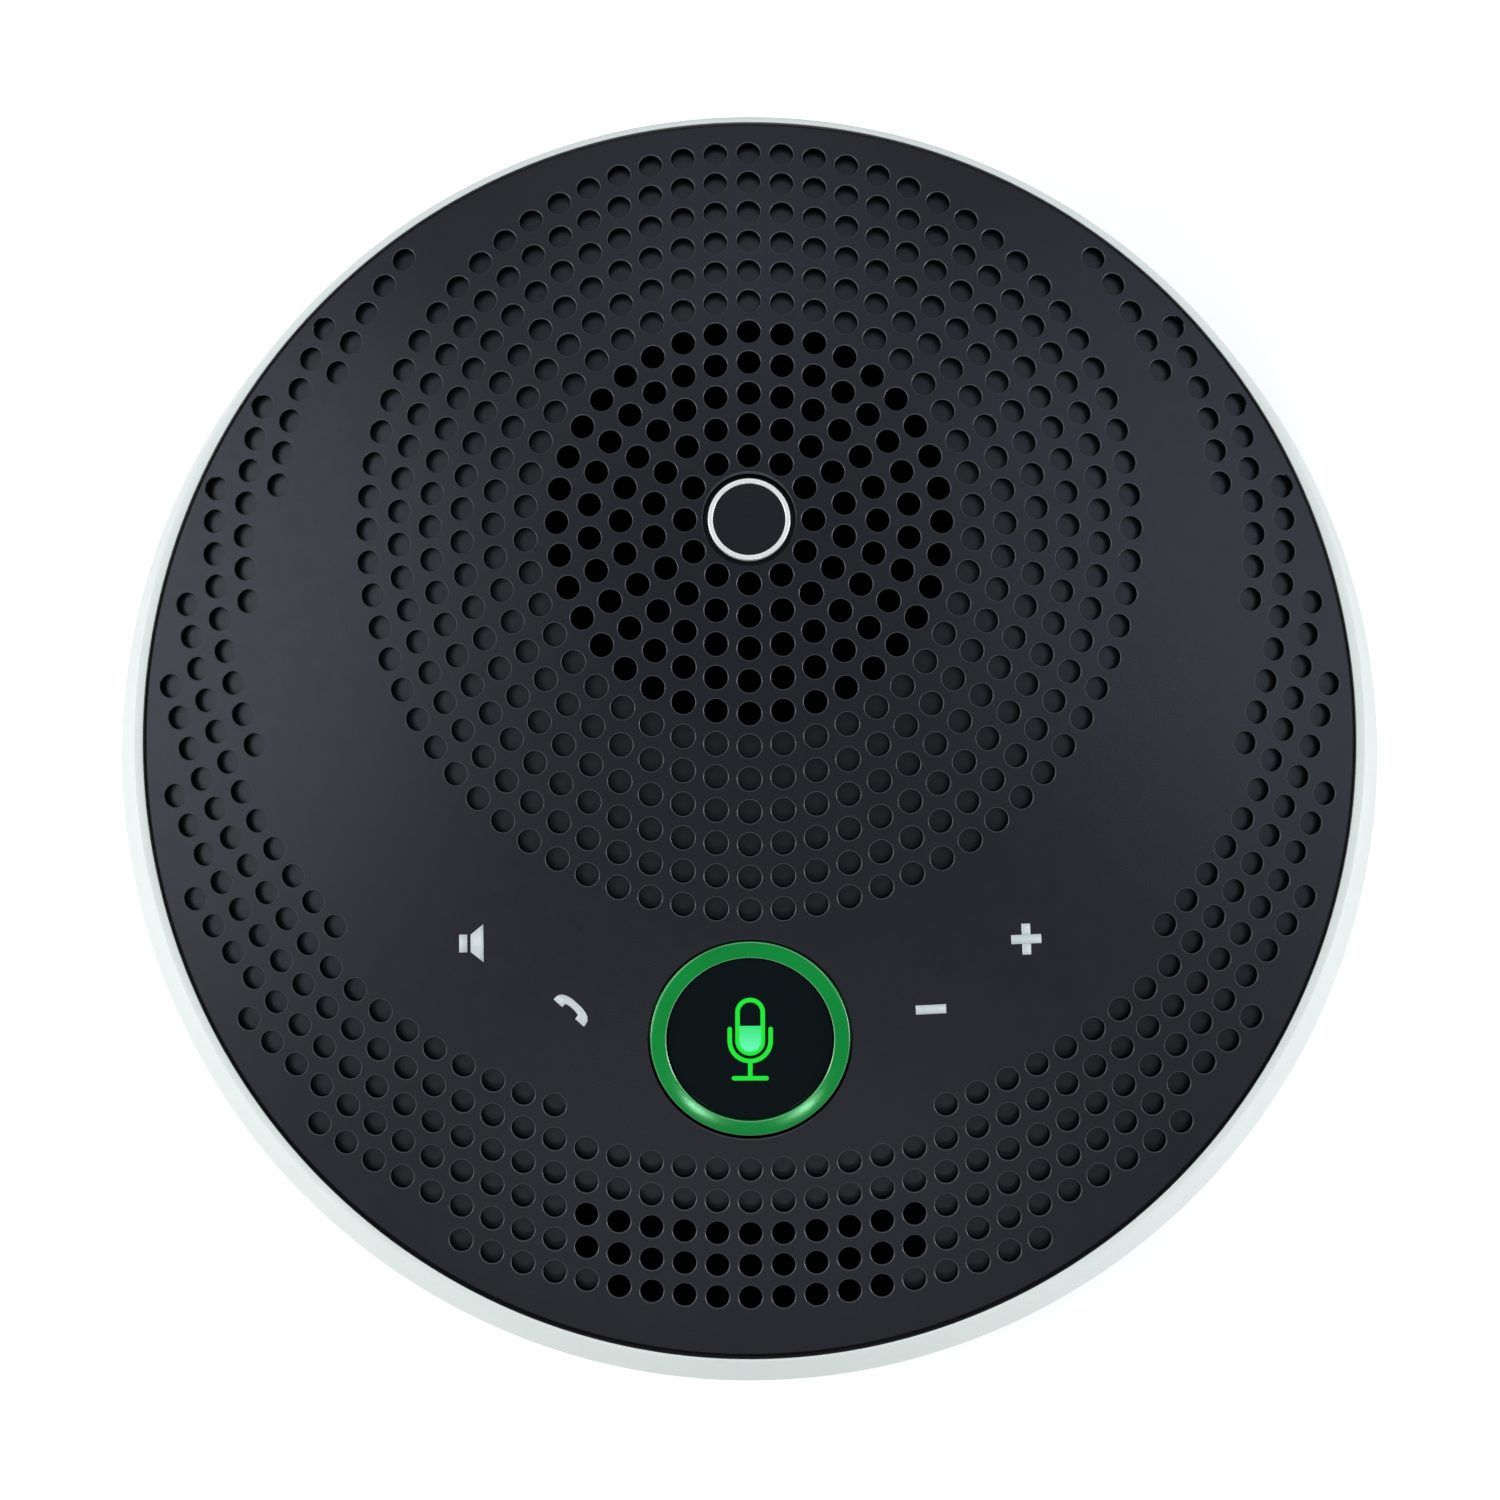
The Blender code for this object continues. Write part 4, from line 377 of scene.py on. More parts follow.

# %% [markdown]
# The mute button is a dark gloss cap in a green light guide. The guide is clear plastic that carries the
# light of three small lamps; seen from outside it is a saturated green with a green gloss, and its
# chamfered edges are a paler green, which is a painted highlight. The key signs are a pale cool print.

# %% Finishes of the mute button and the print
CAP_GLOSS = moulded("mute_cap_gloss", (0.0035, 0.0068, 0.0082), roughness=0.12, grain=1.5 * MM,
                    depth=0.001 * MM, **{"Specular IOR Level": 0.06})
LIGHT_GUIDE = moulded("green_light_guide", (0.0, 0.24, 0.035), roughness=0.17, grain=0.6 * MM,
                      depth=0.003 * MM,
                      **{"Specular IOR Level": 0.6, "Specular Tint": (0.45, 1.0, 0.6, 1.0)})
# A paler green on the light ring's chamfers: a painted highlight.
GUIDE_PAINTED_HIGHLIGHT = moulded("green_light_guide_painted_highlight", (0.12, 0.42, 0.20), roughness=0.2, grain=0.6 * MM,
                     depth=0.001 * MM, **{"Specular IOR Level": 0.6})
KEY_PRINT = moulded("key_print", (0.58, 0.66, 0.68), roughness=0.5, grain=0.2 * MM, depth=0.002 * MM,
                    cloud=0.03)
BUTTON_FINISHES = (CAP_GLOSS, LIGHT_GUIDE, GUIDE_PAINTED_HIGHLIGHT, KEY_PRINT)
print("button finishes:", ", ".join(finish.name for finish in BUTTON_FINISHES))

# %% [markdown]
# The lit microphone sign glows, so its colour is emission and not a base colour. Its window fades from mint
# at the bottom to green at the top, which a gradient along the object's y axis gives.

# %% Glowing finishes
SIGN_GREEN = (0.015, 0.80, 0.04)
SIGN_MINT = (0.13, 0.95, 0.46)
WINDOW_GREEN = (0.05, 0.80, 0.20)
UNLIT_SIGN = (0.002, 0.02, 0.005)


def glowing(name, low_color, high_color, low_y, high_y):
    """Emission that runs from one colour to another between two values of the object's y."""
    material, shader = new_finish(name, UNLIT_SIGN, 0.4, **{"Specular IOR Level": 0.0})
    shader.inputs["Emission Strength"].default_value = 1.0
    y = add_node(material, "ShaderNodeSeparateXYZ", Vector=object_place(material)).outputs[1]
    share = spread(material, y, 0, 1, low_y, high_y)
    feed(material, shader, "Emission Color", blend(material, share, low_color, high_color))
    return material


print("sign glows in green", SIGN_GREEN, "and mint", SIGN_MINT)

# %% [markdown]
# The sound holes sit on rings round the badge, six more on each ring, so they pack almost like a honeycomb.
# The rings two to twelve are whole. Farther out the holes fill a crescent: outside an egg-shaped bound
# round the badge and inside a circle near the rim. Over the loudspeaker and the microphone they go through
# the cover. An array of one hole could not follow such a pattern, so the places come from the rule itself.

# %% Where the holes are
HOLE_PITCH = 3.93 * MM
HOLE_RADIUS = 1.48 * MM
WHOLE_RINGS = range(2, 13)
CRESCENT_RINGS = range(14, 25)
CRESCENT_START = 15.30    # this and the next three are in pitches
CRESCENT_PULL = 3.88
CRESCENT_CENTRE = 6.05
CRESCENT_RADIUS = 18.6
SPEAKER_RINGS = 6
MIC_SPANS = {22: 5, 23: 5, 24: 4}    # open holes on each side of the front one, by ring


def ring_of_holes(ring):
    """Angles from straight back: a sixth of a turn over the ring's number, for six times that many holes."""
    return np.arange(6 * ring) * TURN / (6 * ring)


def hole_table():
    """Plan places of all holes, and which of them go through. On a crescent ring a hole stays if it is in
    the circle, and if its ring lies beyond the start less the pull times the cosine of its angle."""
    places, through = [], []
    for ring in [*WHOLE_RINGS, *CRESCENT_RINGS]:
        angle = ring_of_holes(ring)
        across, back = ring * np.sin(angle), ring * np.cos(angle)
        keep = np.ones_like(angle, dtype=bool)
        if ring in CRESCENT_RINGS:
            keep = np.hypot(across, back + CRESCENT_CENTRE) <= CRESCENT_RADIUS
            keep &= ring >= CRESCENT_START - CRESCENT_PULL * np.cos(angle)
        steps_from_front = np.abs(np.arange(6 * ring) - 3 * ring)
        open_hole = (ring <= SPEAKER_RINGS) | (steps_from_front <= MIC_SPANS.get(ring, -1))
        places.append(np.stack([across, back], axis=-1)[keep] * HOLE_PITCH + [0, BADGE_Y])
        through.append(np.broadcast_to(open_hole, keep.shape)[keep])
    return np.concatenate(places), np.concatenate(through)


HOLES, THROUGH = hole_table()
print("holes:", len(HOLES), "of which", int(THROUGH.sum()), "go through")

# %% [markdown]
# The cover itself is one closed shell, as it comes out of its mould: the dome, a small round at its rim,
# the side, the lip and the underside. Solidify could thicken a dome, but the lip and the rim need their own
# sizes, so all of them are rows of one grid.

# %% The cover's shell
RIM_ROUND = 0.25 * MM
COVER_COLUMNS = 240
COVER_ROWS = 36
RIM_ROWS = 7
UNDER_ROWS = 14


def cover_shell():
    """Grid from the top pole over the dome, round the rim by a quarter circle, down the side, under the lip
    and back to the pole."""
    angle = np.arange(COVER_COLUMNS) * TURN / COVER_COLUMNS

    def sheet(offset, depth, shares):
        """The oval's points drawn in by each share, at the dome's height less a depth."""
        x, y = outline(angle, offset)
        x, y = x * shares[:, None], y * shares[:, None]
        return np.stack([x, y, dome_height(x, y) - depth], axis=-1)

    top = sheet(-RIM_ROUND, 0, np.linspace(0, 1, COVER_ROWS))
    bend = np.linspace(0, math.pi / 2, RIM_ROWS)[1:, None]
    x, y = outline(angle, -RIM_ROUND * (1 - np.sin(bend)))
    rim = np.stack([x, y, dome_height(x, y) - RIM_ROUND * (1 - np.cos(bend))], axis=-1)
    x, y = outline(angle)
    lip_level = dome_height(x, y) - LIP_DEPTH
    inner_x, inner_y = outline(angle, -LIP_WALL)
    lip = np.stack([np.stack([x, y, lip_level], axis=-1), np.stack([inner_x, inner_y, lip_level], axis=-1)])
    under = sheet(-LIP_WALL, COVER_WALL, np.linspace(1, 0, UNDER_ROWS))
    return np.concatenate([top, rim, lip, under])


cover = add_piece("cover_with_holes", grid_mesh("cover", cover_shell()), CHARCOAL)
print("cover shell:", len(cover.data.polygons), "faces before the holes")

# %% [markdown]
# Holes in a curved shell are a job for a Boolean. Hundreds of them one by one would be slow, so all cutters
# are one mesh: a turned plug, repeated on the dome's normal at each hole. A plug is wider at the top, which
# leaves the thin bevel that catches the light. It stops short for a dimple and goes right through for a
# sound hole.

# %% Plugs for the holes
PLUG_SIDES = 20
BEVEL_WIDTH = 0.12 * MM
BEVEL_DROP = 0.10 * MM
DIMPLE_DEPTH = 1.25 * MM
THROUGH_DEPTH = COVER_WALL + 1.5 * MM
TOOL_RISE = 1.0 * MM


def plug_profile(depth):
    """From the floor's pole out to the wall, up it, out over a low bevel, and back to the pole above the
    surface."""
    rise = TOOL_RISE / BEVEL_DROP
    return [(0, -depth), (HOLE_RADIUS, -depth), (HOLE_RADIUS, -BEVEL_DROP),
            (HOLE_RADIUS + BEVEL_WIDTH * (1 + rise), TOOL_RISE), (0, TOOL_RISE)]


def plugs(places, depth):
    """One plug at each place, its axis along the dome's normal there, as points and faces of one mesh."""
    x, y = places.T
    normal = dome_normal(x, y)
    right = np.cross([0.0, 1.0, 0.0], normal)
    right /= np.linalg.norm(right, axis=-1, keepdims=True)
    axes = np.stack([right, np.cross(normal, right), normal], axis=1)
    shape = turned(plug_profile(depth), PLUG_SIDES)
    centres = np.stack([x, y, dome_height(x, y)], axis=-1)
    points = np.einsum("rcj,hjk->hrck", shape, axes) + centres[:, None, None]
    faces = grid_faces(*shape.shape[:2])
    step = np.arange(len(places))[:, None, None] * shape.shape[0] * shape.shape[1]
    return points.reshape(-1, 3), (faces[None] + step).reshape(-1, 4)


print("a plug is %.2f mm across and leaves a bevel of %.2f mm" % (2 * HOLE_RADIUS / MM, BEVEL_WIDTH / MM))

# %% [markdown]
# A Boolean takes the plugs away from the shell. Its Manifold solver is the fast one; it needs both meshes
# to be closed, as they are here. The result is stored as plain mesh data at once, so that later steps can
# measure it.

# %% Cutting the holes
def cut(piece, name, points, faces):
    """Takes a tool made of arrays away from a piece, then drops the tool."""
    tool = bpy.data.objects.new(name, mesh_of(name, points, faces))
    bpy.context.scene.collection.objects.link(tool)
    step = piece.modifiers.new(name, "BOOLEAN")
    step.operation = "DIFFERENCE"
    step.solver = "MANIFOLD"
    step.object = tool
    graph = bpy.context.evaluated_depsgraph_get()
    result = bpy.data.meshes.new_from_object(piece.evaluated_get(graph))
    piece.modifiers.clear()
    piece.data = result
    bpy.data.objects.remove(tool, do_unlink=True)


cut(cover, "dimple_plugs", *plugs(HOLES[~THROUGH], DIMPLE_DEPTH))
cut(cover, "open_plugs", *plugs(HOLES[THROUGH], THROUGH_DEPTH))
print("cover with holes:", len(cover.data.polygons), "faces")

# %% [markdown]
# Two round seats are cut as well: the shallow one of the badge, straight down, and the one of the mute
# button, square to the slope. Both have a small bevel at the mouth, and the mute seat leaves a hairline
# round the light ring, darkened by the painted shade that the seat's walls get later. The tools are turned,
# as the pieces that will sit in the seats are.

# %% Seats of the badge and the mute button
BADGE_RADIUS = (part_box("badge_ring")[1][0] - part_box("badge_ring")[0][0]) / 2
BADGE_GAP = 0.5 * MM
BADGE_RECESS = 1.9 * MM
MUTE_Y = -37.6 * MM
LIGHT_RING_RADIUS = 12.4 * MM
MUTE_GAP = 0.25 * MM
SEAT_BEVEL = 0.2 * MM


def on_cover(x, y):
    """A matrix that stands on the cover at a plan point, its z axis on the normal and its x axis level."""
    normal = Vector(dome_normal(np.array(x), np.array(y)))
    right = Vector((0, 1, 0)).cross(normal).normalized()
    turn = Matrix((right, normal.cross(right), normal)).transposed()
    return Matrix.Translation((x, y, float(dome_height(x, y)))) @ turn.to_4x4()


def seat_tool(radius, depth):
    """Profile of a round cutter with a bevel of 45 degrees from just under the surface up."""
    return [(0, -depth), (radius, -depth), (radius, -SEAT_BEVEL),
            (radius + SEAT_BEVEL + TOOL_RISE, TOOL_RISE), (0, TOOL_RISE)]


MUTE_PLACE = on_cover(0.0, MUTE_Y)
BADGE_PLACE = Matrix.Translation((0, BADGE_Y, float(dome_height(0.0, BADGE_Y))))
for name, radius, depth, place in (
        ("mute_seat", LIGHT_RING_RADIUS + MUTE_GAP, THROUGH_DEPTH, MUTE_PLACE),
        ("badge_seat", BADGE_RADIUS + BADGE_GAP, BADGE_RECESS, BADGE_PLACE)):
    tool_points = turned(seat_tool(radius, depth), place=place)
    cut(cover, name, tool_points, grid_faces(*tool_points.shape[:2]))
    print(name, "of radius %.2f mm" % (radius / MM))

# %% [markdown]
# A bevel catches the light, and the walls below it don't, so one piece can need several finishes: here the
# bevels carry a painted highlight and the walls painted shade. Painting them by hand would break with each
# change of size. A face's slope tells what it is, so the finish follows the slope.

# %% Finishes by slope
def numbers(items, field, width, kind=np.float32):
    """One field of all a mesh's items as an array, in rows of a width."""
    values = np.empty(len(items) * width, dtype=kind)
    items.foreach_get(field, values)
    return values.reshape(-1, width) if width > 1 else values


def slopes(mesh, upward):
    """Each face's centre, and the angle in degrees between its normal and the way up there."""
    centres = numbers(mesh.polygons, "center", 3, float)
    normals = numbers(mesh.polygons, "normal", 3, float)
    return centres, np.degrees(np.arccos(np.clip(np.sum(normals * upward(centres), axis=-1), -1, 1)))


def up_from_dome(at):
    """The dome's upward normal at rows of points."""
    return dome_normal(at[:, 0], at[:, 1])


def give_finishes(mesh, finishes, places):
    """Puts a list of finishes on a mesh, with each face's place in the list, and counts each one's faces."""
    mesh.materials.clear()
    for finish in finishes:
        mesh.materials.append(finish)
    mesh.polygons.foreach_set("material_index", places.astype(np.int32))
    return [int(np.sum(places == step)) for step in range(len(finishes))]


print("faces turned away from the dome:", int(np.sum(slopes(cover.data, up_from_dome)[1] > 90)))

# %% [markdown]
# A Boolean leaves long thin faces between the holes, and smooth shading would smear over them. The dome is
# a formula, so the true normals are known: they are given to every corner that lies along the dome. Then
# each face gets its finish by its slope against the dome: the surface, the bevels' painted highlight or the
# side walls' painted shade.

# %% Shading and finishes of the cover
CUT_SHARP = 25
ALONG_DOME = 0.97    # cosine above which a face lies along the dome
SURFACE_SLOPE = 14    # degrees; flatter faces are the surface
BEVEL_SLOPE = 52    # degrees; steeper faces are side walls
RIM_SHARE = 0.985    # share of the oval beyond which the rim's round counts as a side wall


def smooth_dome(mesh):
    """Corners of faces that lie along the dome, at its surface or on a dimple's floor, get the formula's own
    normal, so the cut mesh shades as one smooth surface."""
    normals = numbers(mesh.corner_normals, "vector", 3)
    vertex = numbers(mesh.loops, "vertex_index", 1, np.int32)
    at = numbers(mesh.vertices, "co", 3)[vertex].astype(float)
    corners = numbers(mesh.polygons, "loop_total", 1, np.int32)
    faced = np.repeat(numbers(mesh.polygons, "normal", 3), corners, axis=0)
    true = up_from_dome(at)
    along = np.einsum("ij,ij->i", faced, true) > ALONG_DOME
    normals[along] = true[along]
    mesh.normals_split_custom_set(normals.tolist())
    return int(along.sum())


def finish_cover(mesh):
    """Surface, bevel or side wall by the slope against the dome; at the rim, bevels count as side walls."""
    centres, slope = slopes(mesh, up_from_dome)
    # bevels get the painted highlight; side walls and the rim's round get the painted shade
    places = np.searchsorted([SURFACE_SLOPE, BEVEL_SLOPE], slope)
    at_rim = np.hypot(centres[:, 0] / HALF_WIDTH, centres[:, 1] / HALF_DEPTH) > RIM_SHARE
    places[at_rim & (places == 1)] = 2
    return give_finishes(mesh, [CHARCOAL, BEVEL_PAINTED_HIGHLIGHT, WALL_PAINTED_SHADE], places)


shade(cover.data, CUT_SHARP)
print("faces of surface, bevel and side wall:", finish_cover(cover.data))
print("cover:", len(cover.data.polygons), "faces,", smooth_dome(cover.data), "smoothed corners")
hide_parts("top_cover")

# %% [markdown]
# The bowl is carried round the same oval. Its sizes come first. The ledge beside the cover, the flare and
# the widest line all change smoothly between the sides, the front and the back, so each is a function of
# the angle. The foot's sizes are read from the frame, because its groove has to fit it.

# %% Sizes of the bowl
FOOT_HIGH = np.array(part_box("foot_ring")[1])
FOOT_OUTER = FOOT_HIGH[0]
FOOT_THICKNESS = FOOT_HIGH[2]
FOOT_WIDTH = 6.0 * MM
CLEARANCE = 0.3 * MM
BASE_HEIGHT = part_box("lower_housing")[0][2]
BASE_RADIUS = FOOT_OUTER + 4.0 * MM
BOWL_WALL = 2.2 * MM
JOINT_GAP = 0.35 * MM
FRONT_GAP = 0.5 * MM
LEDGE_DROP = 0.45 * MM
LEDGE_REACH = (1.25 * MM, 0.55 * MM, 0.7 * MM)    # at the sides, in front and at the back
FLARE_REACH = (2.7 * MM, 2.5 * MM, 2.35 * MM)    # the same
WIDEST_HEIGHT = 11.2 * MM
WIDEST_TILT = 4.8 * MM


def round_the_rim(angle, side, front, back):
    """A size that runs from its side value to its front or back value by the squared sine of the angle."""
    share = np.sin(angle)**2
    return side * (1 - share) + np.where(np.sin(angle) > 0, back, front) * share


def edge_height(angle):
    """Height of the cover's edge at an angle."""
    return dome_height(*outline(angle))


def joint_offset(angle):
    """Width of the joint between cover and ledge, a little more in front."""
    return round_the_rim(angle, JOINT_GAP, FRONT_GAP, JOINT_GAP)


def ledge_offset(angle):
    """Reach of the ledge beyond the cover."""
    return JOINT_GAP + round_the_rim(angle, *LEDGE_REACH)


def widest_offset(angle):
    """Reach of the widest line beyond the cover."""
    return ledge_offset(angle) + round_the_rim(angle, *FLARE_REACH)


def widest_height(angle):
    """The widest line rises towards the back with the sine of the angle."""
    return WIDEST_HEIGHT + WIDEST_TILT * np.sin(angle)


print("bowl: widest line %.2f mm beyond the cover at the sides" % (widest_offset(0.0) / MM))

# %% [markdown]
# The section starts under the middle, dips into the foot groove, curls up the flared wall to its widest
# line, turns in to a narrow flat ledge beside the cover, and returns inside. As its corners move with the
# angle, the whole section is worked out for all columns at once, and its rounded corners with it.

# %% The bowl's section
BOWL_COLUMNS = 240
WALL_ROWS = 14
INNER_ROWS = 8
WALL_CURVE = 0.9
CURL_START = 82
SHELF = 1.2 * MM
SHELF_DROP = 1.4 * MM
WIDEST_ROUND = 0.8 * MM
LEDGE_ROUND = 0.25 * MM
JOINT_ROUND = 0.12 * MM


def bowl_shell():
    """Grid whose rows are the section's points and whose columns go round."""
    angle = np.arange(BOWL_COLUMNS) * TURN / BOWL_COLUMNS
    wide, level, edge = widest_offset(angle), widest_height(angle), edge_height(angle)
    flat = BASE_RADIUS - (HALF_WIDTH + HALF_DEPTH) / 2
    floor_top = BASE_HEIGHT + BOWL_WALL
    shelf = edge - LIP_DEPTH - SHELF_DROP

    def at(offset, z):
        """A row on the oval at an offset and a height."""
        return np.stack(np.broadcast_arrays(*outline(angle, offset), z), axis=-1)

    def circle(radius, z):
        """A row on a circle."""
        return np.stack(np.broadcast_arrays(radius * np.cos(angle), radius * np.sin(angle), z), axis=-1)

    def curl(reach, low, steps):
        """Offset by a cosine raised to the curve, height by a sine, from the floor up to the widest line."""
        return [at(flat + (reach - flat) * math.cos(t)**WALL_CURVE, level - (level - low) * math.sin(t))
                for t in np.radians(np.linspace(CURL_START, 0, steps))]

    groove = [FOOT_OUTER - FOOT_WIDTH - CLEARANCE, FOOT_OUTER + CLEARANCE]
    roof = FOOT_THICKNESS + CLEARANCE
    under = [circle(0, BASE_HEIGHT), circle(groove[0], BASE_HEIGHT), circle(groove[0], roof),
             circle(groove[1], roof), circle(groove[1], BASE_HEIGHT), at(flat, BASE_HEIGHT)]
    wall = curl(wide, BASE_HEIGHT, WALL_ROWS)
    joint = joint_offset(angle)
    ledge = [at(ledge_offset(angle), edge - LEDGE_DROP), at(joint, edge - CLEARANCE),
             at(joint, shelf), at(-LIP_WALL, shelf), at(-LIP_WALL, shelf - SHELF)]
    inside = curl(wide - BOWL_WALL, floor_top, INNER_ROWS)[::-1]
    section = under + wall + ledge + inside + [circle(0, floor_top)]
    reach = np.zeros(len(section))
    widest = len(under) + len(wall) - 1
    reach[widest:widest + 3] = WIDEST_ROUND, LEDGE_ROUND, JOINT_ROUND
    return rounded(section, reach)


BOWL_SHARP = 30
bowl = add_piece("bowl", grid_mesh("bowl", bowl_shell()), PALE, sharp=BOWL_SHARP)
print("bowl:", len(bowl.data.polygons), "faces")

# %% [markdown]
# At the back four openings go through the bowl's wall, for the power button, the pairing button, the USB
# socket and the headphone jack. Each lies on a radial axis, at the height of the part behind it. A slot
# with round ends is carried along that axis, and each step along it can shrink or widen the slot.

# %% Slots along an axis
# the node behind each opening, and its angle in degrees from straight back
PORTS = {"power": ("power_switch", -16.5), "pairing": ("pairing_switch", -7.5), "usb": ("usb_socket", 2.5),
         "jack": ("headphone_socket", 13.5)}
SLOT_STEPS = 12


def wall_reach(angle, z):
    """Reach of the flared wall beyond the cover at a height, between its widest line and its ledge."""
    low, high = widest_height(angle), edge_height(angle) - LEDGE_DROP
    share = np.clip((z - low) / (high - low), 0, 1)
    return widest_offset(angle) * (1 - share) + ledge_offset(angle) * share


def port_place(port):
    """A matrix on the wall's outside: y points out through the opening, x to its side, z up."""
    node, angle = PORTS[port]
    low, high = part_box(node)
    level = (low[2] + high[2]) / 2
    angle = math.radians(90 + angle)
    x, y = outline(angle, wall_reach(angle, level))
    return Matrix.Translation((x, y, level)) @ Matrix.Rotation(angle - math.pi / 2, 4, "Z")


def closed_slot(width, height, insets, depths, place):
    """A prism along y with round-ended sections: each depth has its section shrunk by an inset. A section is
    two half circles of half the height, their centres apart by the width less the height. At both ends it is
    drawn in to a line, so that it is closed."""
    half = np.linspace(-math.pi / 2, math.pi / 2, SLOT_STEPS)
    turn = np.concatenate([half, half + math.pi])
    side = np.repeat([1.0, -1.0], SLOT_STEPS)
    full = height / 2
    insets = np.array([full, *insets, full])[:, None]
    depths = np.array([depths[0], *depths, depths[-1]])[:, None]
    radius = np.maximum(height / 2 - insets, 0)
    x = side * (width - height) / 2 + radius * np.cos(turn)
    return moved(np.stack(np.broadcast_arrays(x, depths, radius * np.sin(turn)), axis=-1), place)


for port in PORTS:
    print(port, "opening at", [round(value / MM, 1) for value in port_place(port).translation], "mm")

# %% [markdown]
# The openings are cut in the bowl with these slots. Each mouth is flared a little, as a moulded opening is,
# and each is wider all round than what stands in it by the clearance.

# %% Openings for buttons and sockets
BUTTON_SIZE = (8.0 * MM, 3.6 * MM)
OPENING_SIZES = {"power": BUTTON_SIZE, "pairing": BUTTON_SIZE, "usb": (8.9 * MM, 3.2 * MM),
                 "jack": (5.2 * MM, 5.2 * MM)}
MOUTH_FLARE = 0.25 * MM

for port, (width, height) in OPENING_SIZES.items():
    tool_points = closed_slot(width + 2 * CLEARANCE, height + 2 * CLEARANCE,
                              [0, 0, -MOUTH_FLARE - TOOL_RISE],
                              [-2 * BOWL_WALL, -MOUTH_FLARE, TOOL_RISE], port_place(port))
    cut(bowl, port + "_opening", tool_points, grid_faces(*tool_points.shape[:2]))
shade(bowl.data, BOWL_SHARP)
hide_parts("lower_housing")
print("bowl with openings:", len(bowl.data.polygons), "faces")

# %% [markdown]
# The two buttons at the back are pills of the bowl's own plastic. Each is a cap with a rounded front, a
# flange that keeps it from falling out, and a stem that presses the switch behind it. Three slots overlap
# and share one mesh, which rides on the button's own body.

# %% Buttons at the back
BUTTON_PROUD = 0.6 * MM
BUTTON_BACK = -(BOWL_WALL + 1.4 * MM)
BUTTON_ROUND = 0.4 * MM
BUTTON_SOFTEN = 0.12 * MM
FLANGE = 0.9 * MM
STEM_RADIUS = 0.85 * MM
STEM_LENGTH = 3.0 * MM


def side_button(port, body):
    """A pill-shaped cap with a rounded front, its retaining flange and its stem, in one piece."""
    place = port_place(port)
    width, height = BUTTON_SIZE
    cap = closed_slot(width, height, [0, 0, BUTTON_SOFTEN, BUTTON_ROUND],
                      [BUTTON_BACK, BUTTON_PROUD - BUTTON_ROUND, BUTTON_PROUD - BUTTON_SOFTEN, BUTTON_PROUD],
                      place)
    flange = closed_slot(width + 2 * FLANGE, height + 2 * FLANGE, [0, 0],
                         [BUTTON_BACK - FLANGE, BUTTON_BACK], place)
    stem = closed_slot(2 * STEM_RADIUS, 2 * STEM_RADIUS, [0, 0],
                       [BUTTON_BACK - FLANGE - STEM_LENGTH, BUTTON_BACK - FLANGE], place)
    points, faces = joined([(shell, grid_faces(*shell.shape[:2])) for shell in (cap, flange, stem)])
    piece = add_piece(port + "_cap", mesh_of(port + "_cap", points, faces), PALE, body)
    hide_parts(port + "_button")
    return piece


for port, body in (("power", "power_button_body"), ("pairing", "pairing_button_body")):
    print(side_button(port, body).name, "rides on", body)

# %% [markdown]
# The foot is a rubber ring in its groove under the bowl. It is a rectangle turned round, with its two lower
# edges rounded where it meets the table.

# %% Foot ring
FOOT_ROUND = 0.5 * MM
foot_profile = rounded([(FOOT_OUTER - FOOT_WIDTH, 0), (FOOT_OUTER, 0), (FOOT_OUTER, FOOT_THICKNESS),
                        (FOOT_OUTER - FOOT_WIDTH, FOOT_THICKNESS)], [FOOT_ROUND, FOOT_ROUND, 0, 0])
foot = turned_piece("foot_pad", foot_profile, RUBBER, ring=True, sides=FOOT_SIDES)
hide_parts("foot_ring")
print("foot radius %.1f mm" % (FOOT_OUTER / MM))

# %% [markdown]
# The seam gasket fills the joint between cover and bowl, and is seen only as a dark hairline: its lip is a
# dark strip put where the joint is in shadow, which is painted shade. Its angled section is carried round the
# oval: a foot under the cover's lip, and a lip that stands in the joint.

# %% Seam gasket
JOINT_DEPTH = 1.6 * MM
JOINT_LIP = 0.25 * MM
GASKET_DROP = 1.1 * MM
GASKET_FOOT = 0.8 * MM


def seam_shell():
    """Rows of an angled section, each at an offset from the oval and at a height."""
    angle = np.arange(BOWL_COLUMNS) * TURN / BOWL_COLUMNS
    edge = edge_height(angle)
    low = edge - LIP_DEPTH - GASKET_DROP
    # the lip's top stands in the joint, a dark strip in the joint's shadow: painted shade
    high, top = low + GASKET_FOOT, edge - JOINT_DEPTH
    joint = joint_offset(angle)
    inner, outer = (joint - JOINT_LIP) / 2, (joint + JOINT_LIP) / 2
    rows = [(outer, low), (outer, top), (inner, top), (inner, high), (-LIP_WALL, high), (-LIP_WALL, low)]
    return np.stack([np.stack([*outline(angle, offset), z], axis=-1) for offset, z in rows])


seam = add_piece("seam_gasket", grid_mesh("seam_gasket", seam_shell(), wrap_rows=True), RUBBER)
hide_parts("seam_ring")
print("seam:", len(seam.data.polygons), "faces")

# %% [markdown]
# Metal that is faced on a lathe has fine circles in its gloss. Anisotropy could fake them, but noise that
# depends on the distance from the centre line alone gives the circles themselves, and they export.

# %% Spun finishes
SPUN_PITCH = 0.12 * MM
SPUN_WANDER = 0.08


